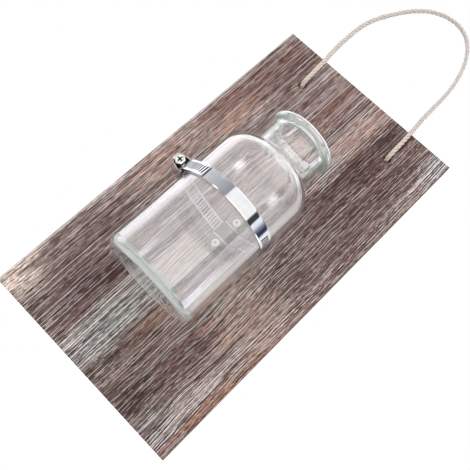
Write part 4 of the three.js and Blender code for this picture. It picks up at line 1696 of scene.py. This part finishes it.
    def tail(self, materials: list[Material]) -> Piece:
        """The free end of the band, from the worm out over the front of the loop.

        Args:
            materials: Its finish and the dark finish of the slots' cut edges, dull steel darkened further as
                painted shade, which also paints shade at the slots' bottoms.

        Returns:
            The piece.
        """
        line = StripLine([
            *self.sweep(self.tail_end, self.tail_bend[0], self.tail_radius, self.tail_radius),
            *self.sweep(*self.tail_bend, self.tail_radius, self.tip_radius)[1:],
            *self.sweep(self.tail_bend[1], self.tail_tip, self.tip_radius, self.tip_radius)[1:],
        ])
        outer = self.tail_radius + self.thickness / 2
        step = self.slots.pitch / outer
        hidden = round((self.tail_end - self.worm_angle) / step)
        angle = self.worm_angle + hidden * step
        places = []
        while angle > self.tail_tip + step / 2:
            places.append(self.along_tail(line, angle))
            angle -= step
        first, last = self.tail_margins[0], line.total - self.tail_margins[1]
        places = [p for p in places if first < p < last]
        return to_piece(self.strip(line, places, True), "band_end", materials)

    def along_tail(self, line: StripLine, angle: float) -> float:
        """Length along the free end at which it reaches an angle.

        Args:
            line: The free end's line.
            angle: The angle round the bottle.

        Returns:
            The length from the line's start.
        """
        for point, length in zip(line.points, line.lengths):
            if math.atan2(-point.x, -point.y) <= angle:
                return length
        return line.total

    def strip(self, line: StripLine, places: Sequence[float], backed: bool = False) -> Mesh:
        """A strip of band with slots, bent along a line.

        Args:
            line: The line that the strip's middle follows.
            places: The slots' middles along the line, in rising order.
            backed: Whether each slot gets a dark sheet near its bottom as painted shade, instead of opening
                to the air.

        Returns:
            The strip in its place.
        """
        columns = self.columns(line.total, places)
        bm = bmesh.new()
        wide, tall = len(columns) - 1, len(self.rows) - 1
        grid = bmesh.ops.create_grid(bm, x_segments=wide, y_segments=tall, size=0.5)["verts"]
        cell = {}
        for vert in grid:
            column = round((vert.co.x + 0.5) * wide)
            row = round((vert.co.y + 0.5) * tall)
            cell[vert] = (column, row)
            vert.co = self.flat_place(columns[column], self.rows[row])
        holes = []
        bm.faces.index_update()
        for face in bm.faces:
            first = min(cell[v][0] for v in face.verts)
            level = sum(self.rows[cell[v][1]] for v in face.verts) / 4
            if columns[first][1] < 0 and abs(level) < self.row_slot:
                holes.append(face)
        numbers = {face.index for face in holes}
        # Copies of the slot faces become dark sheets of painted shade in the slots.
        shade_floors = bm.copy()
        bmesh.ops.delete(shade_floors, geom=[f for f in shade_floors.faces if f.index not in numbers], context="FACES")
        bmesh.ops.delete(bm, geom=holes, context="FACES")
        bmesh.ops.solidify(bm, geom=bm.faces[:], thickness=self.thickness)
        bmesh.ops.recalc_face_normals(bm, faces=bm.faces)
        # The slot walls take the dark finish: dull cut steel, darkened further as painted shade.
        for face in bm.faces:
            middle = face.calc_center_median()
            in_row = abs(middle.y) < 1.02 * self.row_slot * MM
            in_slot = in_row and self.end_room < middle.x < line.total - self.end_room
            face.material_index = 1 if in_slot and abs(face.normal.z) < 0.5 else 0
        bevel_sharp(bm, self.edge, 50)
        middle = sum(v.co.z for v in bm.verts) / len(bm.verts)
        # The dark sheets sit low in each slot as painted shade.
        if backed:
            deep = min(v.co.z for v in bm.verts) + self.shade_floor_share * self.thickness
            for vert in shade_floors.verts:
                vert.co.z = deep
            for face in shade_floors.faces:
                face.material_index = 1
            absorb(bm, shade_floors)
        else:
            shade_floors.free()
        for vert in bm.verts:
            along, up, out = vert.co.x, vert.co.y, vert.co.z - middle
            point, ahead = line.at(along)
            side = Vector((ahead.y, -ahead.x))
            if side.dot(point) < 0:
                side = -side
            spot = point + side * out
            vert.co = (spot.x, spot.y, up)
        bmesh.ops.recalc_face_normals(bm, faces=bm.faces)
        bm.transform(self.seat)
        return bm

    def columns(self, total: float, places: Sequence[float]) -> list[tuple[float, int]]:
        """The strip's lines across, each with its part in a slot.

        Args:
            total: The strip's length.
            places: The slots' middles.

        Returns:
            Pairs of place and mark: -1 where a slot starts, 1 where it ends, 2 between slots and 0 elsewhere.
        """
        half = self.slots.width / 2
        columns = []
        for i, middle in enumerate(places):
            columns += [(middle - half, -1), (middle + half, 1)]
            if i + 1 < len(places):
                columns.append(((middle + places[i + 1]) / 2, 2))
        start = places[0] - half - self.run_in
        end = places[-1] + half + self.run_out
        count = max(2, round(start / self.plain_step))
        before = [(start * i / count, 0) for i in range(count + 1)]
        after = [(end + (total - end) * i / 2, 0) for i in range(1, 3)]
        return before + columns + after

    def flat_place(self, column: tuple[float, int], row: float) -> Vector:
        """Where a crossing of the grid lies while the strip is flat.

        Args:
            column: The line across and its part in a slot.
            row: Height of the line along, in millimetres.

        Returns:
            Place along, height and no depth.
        """
        along, mark = column
        level = min(max(row, -self.row_slot), self.row_slot)
        if mark != 0:
            along += level * MM * math.tan(self.slots.slant)
        if abs(mark) == 1 and abs(row) > self.row_full:
            along -= mark * self.slots.round_share * self.slots.width
        return Vector((along, row * MM, 0.0))


# Strap and screws

@dataclass
class Saddle:
    """The strap that holds the clamp's band to the board, and its two dome-headed screws."""

    finish: SteelFinish
    # The bridge's darker finish is painted shade.
    bridge_shade_finish: SteelFinish
    # The steps' bright finish is painted highlight.
    step_highlight_finish: SteelFinish
    # The screws' plating is whitened and half diffuse as painted sheen on the domes.
    screw_finish: SteelFinish
    # Dark finish painted as shade in the screws' recesses.
    recess_shade_finish: SteelFinish
    marks: NodeTree
    thickness: float = 1.2 * MM
    opening: float = 10.8 * MM
    bend: float = 0.9 * MM
    corner: float = 3.0 * MM
    head_radius: float = 3.3 * MM
    head_height: float = 2.2 * MM
    shank_radius: float = 1.6 * MM
    tip: float = 3.0 * MM
    recess: tuple[float, float, float] = (3.6 * MM, 0.8 * MM, 1.2 * MM)
    edge: float = 0.32 * MM
    chamfer: float = 0.25 * MM
    hole_room: float = 0.3 * MM
    hole_reach: float = 6 * MM
    turns: tuple[tuple[str, float], ...] = (("lower", 0.35), ("upper", -0.5))
    sharp: float = 35.0

    def build(self) -> list[Piece]:
        """Builds the strap and its screws.

        Returns:
            The three pieces.
        """
        # The bridge's finish is painted shade and the steps' finish is painted highlight.
        tones = [tone.material(self.marks) for tone in (self.finish, self.bridge_shade_finish, self.step_highlight_finish)]
        strap = self.strap(tones)
        pieces = [place(strap, Body.BOARD, Slot.FASTENER, "band_saddle")]
        # The second finish is painted shade for the cross recesses.
        finishes = [finish.material(self.marks) for finish in (self.screw_finish, self.recess_shade_finish)]
        for node, (level, turn) in zip(SCREW_NODES, self.turns):
            screw = self.screw(node, level, turn, finishes)
            pieces.append(place(screw, Body.BOARD, Slot.FASTENER, node))
        return pieces

    def strap(self, materials: list[Material]) -> Piece:
        """The strap: two flanges and a raised bridge, bent from one strip.

        Args:
            materials: The finishes of its flanges, of its bridge, darker as painted shade, and of the steps
                between them, paler as painted highlight.

        Returns:
            The piece.
        """
        low, high = corners("band_saddle")
        half = self.thickness / 2
        foot, bridge = high.y - half, low.y + half
        middle = (low.z + high.z) / 2
        wall = self.opening / 2 + half
        steps = [
            (low.z, foot), (middle - wall, foot), (middle - wall, bridge),
            (middle + wall, bridge), (middle + wall, foot), (high.z, foot),
        ]
        bm = bmesh.new()
        verts = [bm.verts.new((low.x, y, z)) for z, y in steps]
        edges = [bm.edges.new(pair) for pair in zip(verts, verts[1:])]
        made = bmesh.ops.extrude_edge_only(bm, edges=edges)["geom"]
        bmesh.ops.translate(bm, vec=(high.x - low.x, 0, 0), verts=points_of(made))
        bends = [e for e in bm.edges if len(e.link_faces) == 2]
        rounding = {"offset_type": "OFFSET", "profile": 0.5, "material": -1}
        bmesh.ops.bevel(bm, geom=bends, offset=self.bend, segments=5, affect="EDGES", **rounding)
        tips = [v for v in bm.verts if len(v.link_edges) == 2]
        bmesh.ops.bevel(bm, geom=tips, offset=self.corner, segments=6, affect="VERTICES", **rounding)
        bmesh.ops.recalc_face_normals(bm, faces=bm.faces)
        strap = to_piece(bm, "saddle_strap", materials, self.sharp)
        wall_modifier = strap.modifiers.new("sheet", "SOLIDIFY")
        wall_modifier.thickness = self.thickness
        wall_modifier.offset = 0.0
        wall_modifier.use_even_offset = True
        settle(strap)
        carve(strap, self.screw_holes())
        round_edges(strap, self.edge, 3, 50)
        # Bridge faces take the painted shade and the step faces the painted highlight.
        for face in strap.data.polygons:
            off = abs(face.center.z - middle)
            on_highlight_step = abs(face.normal.z) > 0.5 and off < wall + self.bend
            face.material_index = 2 if on_highlight_step else 1 if off < wall - self.bend else 0
        shade(strap, self.sharp)
        return strap

    def screw_holes(self) -> Mesh:
        """The strap's screw holes.

        Returns:
            Closed cutters.
        """
        bm = bmesh.new()
        for node in SCREW_NODES:
            middle = middle_of(node)
            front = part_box(node)[0][1]
            seat = Matrix.Translation((middle.x, front + self.hole_reach / 2, middle.z))
            radius = self.shank_radius + self.hole_room
            bmesh.ops.create_cone(
                bm, cap_ends=True, segments=28, radius1=radius, radius2=radius, depth=self.hole_reach,
                matrix=seat @ Matrix.Rotation(math.pi / 2, 4, "X"),
            )
        return bm

    def screw(self, node: str, level: str, turn: float, materials: list[Material]) -> Piece:
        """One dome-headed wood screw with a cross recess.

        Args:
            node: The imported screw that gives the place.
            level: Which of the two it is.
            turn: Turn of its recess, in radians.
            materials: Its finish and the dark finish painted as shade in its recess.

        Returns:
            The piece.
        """
        low, high = corners(node)
        length = high.y - low.y - self.head_height
        flat = 0.3 * self.head_height
        dome = [
            (self.head_radius * math.cos(a), flat + (self.head_height - flat) * math.sin(a))
            for a in (math.pi / 2 * i / 9 for i in range(9))
        ]
        profile = [
            (0.0, -length), (0.25 * self.shank_radius, -length), (self.shank_radius, self.tip - length),
            (self.shank_radius, 0.0), (self.head_radius - self.chamfer, 0.0),
            (self.head_radius, self.chamfer),
            *dome, (0.0, self.head_height),
        ]
        solid = turned(profile, ROUND_STEPS)
        screw = to_piece(solid, f"saddle_screw_{level}_dome", materials, self.sharp)
        # The cross recess's faces take the dark finish as painted shade.
        for quarter in (0.0, math.pi / 2):
            carve(screw, recess_bar(*self.recess, self.head_height, quarter), 1)
        middle = middle_of(node)
        seat = Matrix.Translation((middle.x, low.y + self.head_height, middle.z))
        screw.data.transform(seat @ Matrix.Rotation(math.pi / 2, 4, "X") @ Matrix.Rotation(turn, 4, "Z"))
        shade(screw, self.sharp)
        return screw


# Studio

@dataclass(frozen=True)
class PhotoCamera:
    """The camera at the photograph's place, rolled so that the board lies across the frame."""

    eye: tuple[float, float, float] = (0.10092, -0.46503, -0.14032)
    forward: tuple[float, float, float] = (-0.19424, 0.94173, 0.27463)
    right: tuple[float, float, float] = (0.70605, -0.06014, 0.70560)
    lens: float = 48.19
    sensor: float = 36.0

    def build(self) -> Piece:
        """Sets the camera up and makes it the scene's own.

        Returns:
            The camera.
        """
        data = bpy.data.cameras.new("photo_camera")
        data.lens = self.lens
        data.sensor_width = self.sensor
        data.clip_start = 0.01
        camera = bpy.data.objects.new("photo_camera", data)
        back = -Vector(self.forward).normalized()
        right = Vector(self.right)
        right = (right - back * right.dot(back)).normalized()
        turn = Matrix((right, back.cross(right), back)).transposed()
        camera.matrix_world = Matrix.Translation(self.eye) @ turn.to_4x4()
        bpy.context.collection.objects.link(camera)
        bpy.context.scene.camera = camera
        return camera


@dataclass(frozen=True)
class Softbox:
    """A square area lamp aimed at the planter, at an angle from the front toward the right."""

    name: str
    azimuth: float
    elevation: float
    distance: float
    size: float
    watts: float

    def build(self, target: Vector) -> Piece:
        """Hangs the lamp and aims it.

        Args:
            target: What it points at.

        Returns:
            The lamp.
        """
        data = bpy.data.lights.new(self.name, "AREA")
        data.size = self.size
        data.energy = self.watts
        turn, rise = math.radians(self.azimuth), math.radians(self.elevation)
        toward = Vector((math.sin(turn) * math.cos(rise), -math.cos(turn) * math.cos(rise), math.sin(rise)))
        lamp = bpy.data.objects.new(self.name, data)
        lamp.location = target + toward * self.distance
        lamp.rotation_euler = toward.to_track_quat("Z", "Y").to_euler()
        lamp.visible_glossy = False
        lamp.visible_transmission = False
        bpy.context.collection.objects.link(lamp)
        return lamp


@dataclass(frozen=True)
class Panel:
    """A soft-edged panel that shiny surfaces see, placed by degrees to the right of the front and upward."""

    azimuth: float
    elevation: float
    width: float
    height: float
    glow: tuple[float, float, float]
    soft: float = 0.15

    def light(self, bench: NodeBench, azimuth: Socket, elevation: Socket) -> Socket:
        """The panel's light in a direction.

        Args:
            bench: The bench on the world's tree.
            azimuth: The direction's degrees to the right.
            elevation: The direction's degrees upward.

        Returns:
            Its light, none outside the panel.
        """
        cover = 1.0
        sides = ((azimuth, self.azimuth, self.width), (elevation, self.elevation, self.height))
        for angle, middle, size in sides:
            off = bench.math("ABSOLUTE", bench.math("SUBTRACT", angle, middle))
            inside = bench.span(off, size / 2 * (1 + self.soft), size / 2 * (1 - self.soft))
            cover = bench.math("MULTIPLY", inside, cover)
        return bench.add("ShaderNodeVectorMath", {0: self.glow, 3: cover}, operation="SCALE").outputs[0]


@dataclass
class Studio:
    """Plain soft light, a white surround that shiny parts see as panels, and a pale floor."""

    level: float = 0.72
    floor_drop: float = 0.26
    floor_radius: float = 0.75
    floor_tones: tuple[Tone, Tone] = ((240, 240, 239), (246, 246, 245))
    target: tuple[float, float, float] = (0.0, -0.05, 0.03)
    lamps: tuple[Softbox, ...] = (
        Softbox("key_softbox", -38, 48, 1.4, 0.32, 6.0),
        Softbox("fill_softbox", 58, 34, 1.6, 0.3, 2.6),
    )
    peak: float = 2.5
    panels: tuple[tuple[float, float, float, float], ...] = (
        (-180, 0.95, 0.95, 0.96), (-150, 0.9, 0.9, 0.91), (-145, 0.12, 0.12, 0.13), (-132, 0.1, 0.1, 0.11),
        (-127, 1.05, 1.05, 1.07), (-104, 1.1, 1.1, 1.12), (-72, 0.85, 0.85, 0.87), (-36, 0.66, 0.66, 0.68),
        (-10, 0.42, 0.42, 0.44), (-7, 1.33, 1.31, 1.27), (54, 1.36, 1.34, 1.3), (57, 0.07, 0.07, 0.075),
        (68, 0.06, 0.062, 0.07), (71, 1.3, 1.3, 1.32), (79, 1.15, 1.16, 1.2), (88, 0.32, 0.36, 0.46),
        (97, 0.05, 0.06, 0.1), (104, 0.07, 0.08, 0.12), (110, 1.25, 1.26, 1.28), (180, 0.95, 0.95, 0.96),
    )
    accents: tuple[Panel, ...] = (
        Panel(24, 2, 58, 23, (1.12, 0.97, 0.96), 0.1),
        Panel(102, 1, 20, 24, (2.9, 2.8, 3.15), 0.3),
        Panel(-35, -2, 12, 24, (2.9, 2.85, 3.2), 0.35),
        Panel(-98, 10, 26, 60, (1.5, 1.45, 1.6), 0.4),
        Panel(20, 31, 80, 14, (0.36, 0.31, 0.31), 0.4),
        Panel(-38, 20.5, 15, 0.95, (5.2, 5.2, 5.4), 0.7),
        Panel(62, 20.6, 16, 0.95, (5.2, 5.2, 5.4), 0.7),
        Panel(0, 78, 400, 50, (0.9, 0.92, 0.94), 0.2),
    )

    def build(self) -> None:
        """Sets the surround, the lamps and the floor."""
        scene = bpy.context.scene
        scene.view_settings.view_transform = "Standard"
        scene.cycles.filter_width = 1.1
        scene.cycles.max_bounces = 24
        scene.cycles.glossy_bounces = 16
        scene.cycles.transmission_bounces = 20
        for lamp in self.lamps:
            lamp.build(Vector(self.target))
        self.surround(scene)
        self.floor()

    def surround(self, scene: bpy.types.Scene) -> None:
        """Builds the world: white to the eye and through glass, panels in reflections, plain light elsewhere.

        Args:
            scene: The scene that takes the world.
        """
        world = bpy.data.worlds.new("studio")
        scene.world = world
        world.use_nodes = True
        world.node_tree.nodes.clear()
        bench = NodeBench(world.node_tree)
        ahead = bench.add("ShaderNodeTexCoord").outputs["Generated"]
        parts = bench.add("ShaderNodeSeparateXYZ", {0: ahead}).outputs
        angle = bench.math("ARCTAN2", parts[0], bench.math("MULTIPLY", parts[1], -1.0))
        share = bench.math("ADD", bench.math("DIVIDE", angle, TURN), 0.5)
        stops = [
            ((turn + 180) / 360, (*(level / self.peak for level in levels), 1.0))
            for turn, *levels in self.panels
        ]
        panels = bench.add(
            "ShaderNodeVectorMath", {0: bench.ramp(share, stops), 3: self.peak}, operation="SCALE"
        ).outputs[0]
        degrees = bench.math("DEGREES", angle)
        rise = bench.math("DEGREES", bench.math("ARCSINE", parts[2]))
        for accent in self.accents:
            glow = accent.light(bench, degrees, rise)
            panels = bench.add("ShaderNodeVectorMath", {0: panels, 1: glow}, operation="ADD").outputs[0]
        path = bench.add("ShaderNodeLightPath").outputs
        seen = bench.math("MAXIMUM", path["Is Camera Ray"], path["Is Transmission Ray"])
        plain = (self.level, self.level, self.level, 1.0)
        colour = bench.mix(path["Is Glossy Ray"], plain, panels)
        colour = bench.mix(seen, colour, (1.0, 1.0, 1.0, 1.0))
        background = bench.add("ShaderNodeBackground", {0: colour})
        output = bench.add("ShaderNodeOutputWorld")
        bench.feed(output.inputs[0], background.outputs[0])

    def floor(self) -> Piece:
        """A pale round floor below the board.

        Returns:
            The floor.
        """
        bm = bmesh.new()
        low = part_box("backing_board")[0][2] - self.floor_drop
        bmesh.ops.create_circle(
            bm, cap_ends=True, segments=96, radius=self.floor_radius, matrix=Matrix.Translation((0, 0, low))
        )
        material, bench, shader = new_material("pale_floor")
        mottle = bench.noise(bench.object_mm(), scale=0.01, detail=3.0)
        dark, light = (paint(tone) for tone in self.floor_tones)
        bench.feed(shader.inputs["Base Color"], bench.mix(mottle, dark, light))
        shader.inputs["Roughness"].default_value = 0.9
        floor = to_piece(bm, "floor", [material])
        return floor


# Finishes of this planter

# The crease tone is painted shade between the strands.
JUTE = RopeFinish(
    "natural_jute", pale=(241, 234, 230), deep=(216, 204, 197), crease_shade=(150, 136, 128), ends=(250, 232, 212)
)
FACE_WOOD = WoodFinish(
    "weathered_face", low=(116, 92, 88), middle=(140, 115, 110), high=(160, 136, 130), dark=(40, 27, 27),
    wash=(248, 242, 240), wash_share=0.92, roughness=(0.62, 0.86),
    patches=(
        Patch(Stain.PALE, -87, 0, 12, 420),
        Patch(Stain.RUSSET, -75, 96, 26, 190, 1.0),
        Patch(Stain.UMBER, -58, 128, 34, 110, 1.0),
        Patch(Stain.PALE, -60, 72, 30, 76),
        Patch(Stain.ROSE, -76, 2, 30, 100),
        Patch(Stain.MAROON, -66, -62, 28, 80, 0.6),
        Patch(Stain.UMBER, -62, -112, 34, 84, 0.7),
        Patch(Stain.TAN, -80, -152, 44, 48, 1.0),
        Patch(Stain.MAROON, -38, -108, 30, 90, 1.0),
        Patch(Stain.UMBER, -36, -142, 28, 60),
        Patch(Stain.ASH, -8, -124, 34, 130),
        Patch(Stain.RUSSET, 17, -108, 26, 76),
        Patch(Stain.UMBER, 46, -100, 44, 110),
        Patch(Stain.MAROON, 40, -148, 30, 50),
        Patch(Stain.ASH, 70, -138, 34, 56, 0.5),
        Patch(Stain.ROSE, 60, -42, 74, 70),
        Patch(Stain.PALE, 73, -92, 8, 130),
        Patch(Stain.UMBER, 58, 24, 76, 130, 0.8),
        Patch(Stain.UMBER, 56, 108, 30, 130, 1.0),
        Patch(Stain.MAROON, 36, 108, 25, 170, 1.0),
        Patch(Stain.ASH, 82, 150, 30, 50),
        Patch(Stain.COPPER, 85, -96, 14, 150, 0.75),
        Patch(Stain.COPPER, -62, 70, 20, 54),
        Patch(Stain.COPPER, 14, -96, 12, 50, 0.6),
        Patch(Stain.RUSSET, -12, 132, 26, 96),
        Patch(Stain.UMBER, 3, 136, 12, 84),
        Patch(Stain.ROSE, 18, 130, 18, 110),
        Patch(Stain.UMBER, -31, 126, 8, 96),
        Patch(Stain.MAROON, -72, 126, 36, 90, 0.3),
        Patch(Stain.MAROON, 69, 96, 32, 120, 0.35),
    ),
)
BACK_WOOD = WoodFinish(
    "sawn_back", low=(150, 122, 98), middle=(176, 148, 122), high=(194, 168, 142), dark=(120, 92, 70),
    wash=(206, 188, 166), wash_share=0.4, roughness=(0.74, 0.92),
)
BAND_STEEL = SteelFinish(
    "polished_band", tone=(214, 216, 220), stain=(200, 202, 206), roughness=(0.02, 0.07), fineness=1.0,
    bump=0.003 * MM,
)
# Dark steel: dull punched slot walls, also used as painted shade in slots, recesses and the housing's end.
CUT_EDGE_AND_SHADE_STEEL = SteelFinish(
    "punched_edge_painted_shade", tone=(44, 43, 42), stain=(26, 25, 24), roughness=(0.45, 0.6), fineness=2.0,
    bump=0.02 * MM, stain_share=0.8,
)
HOUSING_STEEL = SteelFinish(
    "dull_plating", tone=(226, 225, 222), stain=(170, 168, 164), roughness=(0.12, 0.28), fineness=1.6,
    bump=0.03 * MM, stain_share=0.6,
)
WORM_STEEL = SteelFinish(
    "grey_zinc", tone=(232, 236, 232), stain=(196, 200, 196), roughness=(0.24, 0.42), fineness=1.6,
    bump=0.02 * MM, stain_share=0.5,
)
STRAP_STEEL = SteelFinish(
    "grey_plating", tone=(152, 162, 152), stain=(122, 130, 120), roughness=(0.08, 0.2), stain_share=0.5,
)
# Darker plating on the strap's bridge: painted shade.
BRIDGE_SHADE_STEEL = SteelFinish(
    "bridge_painted_shade", tone=(112, 116, 112), stain=(84, 88, 84), roughness=(0.12, 0.26), fineness=0.8,
    bump=0.015 * MM, stain_share=0.7,
)
# Near-white, mostly diffuse finish on the strap's steps: painted highlight.
STEP_HIGHLIGHT_STEEL = SteelFinish(
    "bend_painted_highlight", tone=(255, 253, 244), stain=(240, 238, 228), roughness=(0.4, 0.55), metal=0.15,
)
# White, half-diffuse plating on the screws: painted sheen on the domes.
SCREW_STEEL = SteelFinish(
    "bright_plating_painted_sheen", tone=(255, 255, 255), stain=(236, 238, 240), roughness=(0.16, 0.28), metal=0.4,
)
CLEAR_GLASS = GlassFinish("clear_glass", clearness=0.97, coat=1.75, roughness=(0.0, 0.012))
# Hazier glass on the foot and the lip: its pale haze is painted sheen for the light the thick glass gathers.
FOOT_SHEEN_GLASS = GlassFinish("hazy_foot_painted_sheen", clearness=0.6, coat=1.75, roughness=(0.04, 0.12))
LIP_SHEEN_GLASS = GlassFinish(
    "rolled_lip_painted_sheen", clearness=0.77, coat=1.9, roughness=(0.0, 0.03), tone=(0.96, 1.0, 0.985, 1.0)
)


def main() -> None:
    """Builds every piece and the studio."""
    logging.basicConfig(level=logging.INFO, format="%(name)s %(message)s")
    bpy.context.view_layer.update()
    PhotoCamera().build()
    grain = timber_grain()
    marks = handling_marks()
    RopeLoop(JUTE).build()
    Board(FACE_WOOD, BACK_WOOD, grain).build()
    Saddle(STRAP_STEEL, BRIDGE_SHADE_STEEL, STEP_HIGHLIGHT_STEEL, SCREW_STEEL, CUT_EDGE_AND_SHADE_STEEL, marks).build()
    BandClamp(BAND_STEEL, CUT_EDGE_AND_SHADE_STEEL, HOUSING_STEEL, WORM_STEEL, marks).build()
    Bottle(CLEAR_GLASS, FOOT_SHEEN_GLASS, LIP_SHEEN_GLASS, marks).build()
    Studio().build()


if __name__ == "__main__":
    main()
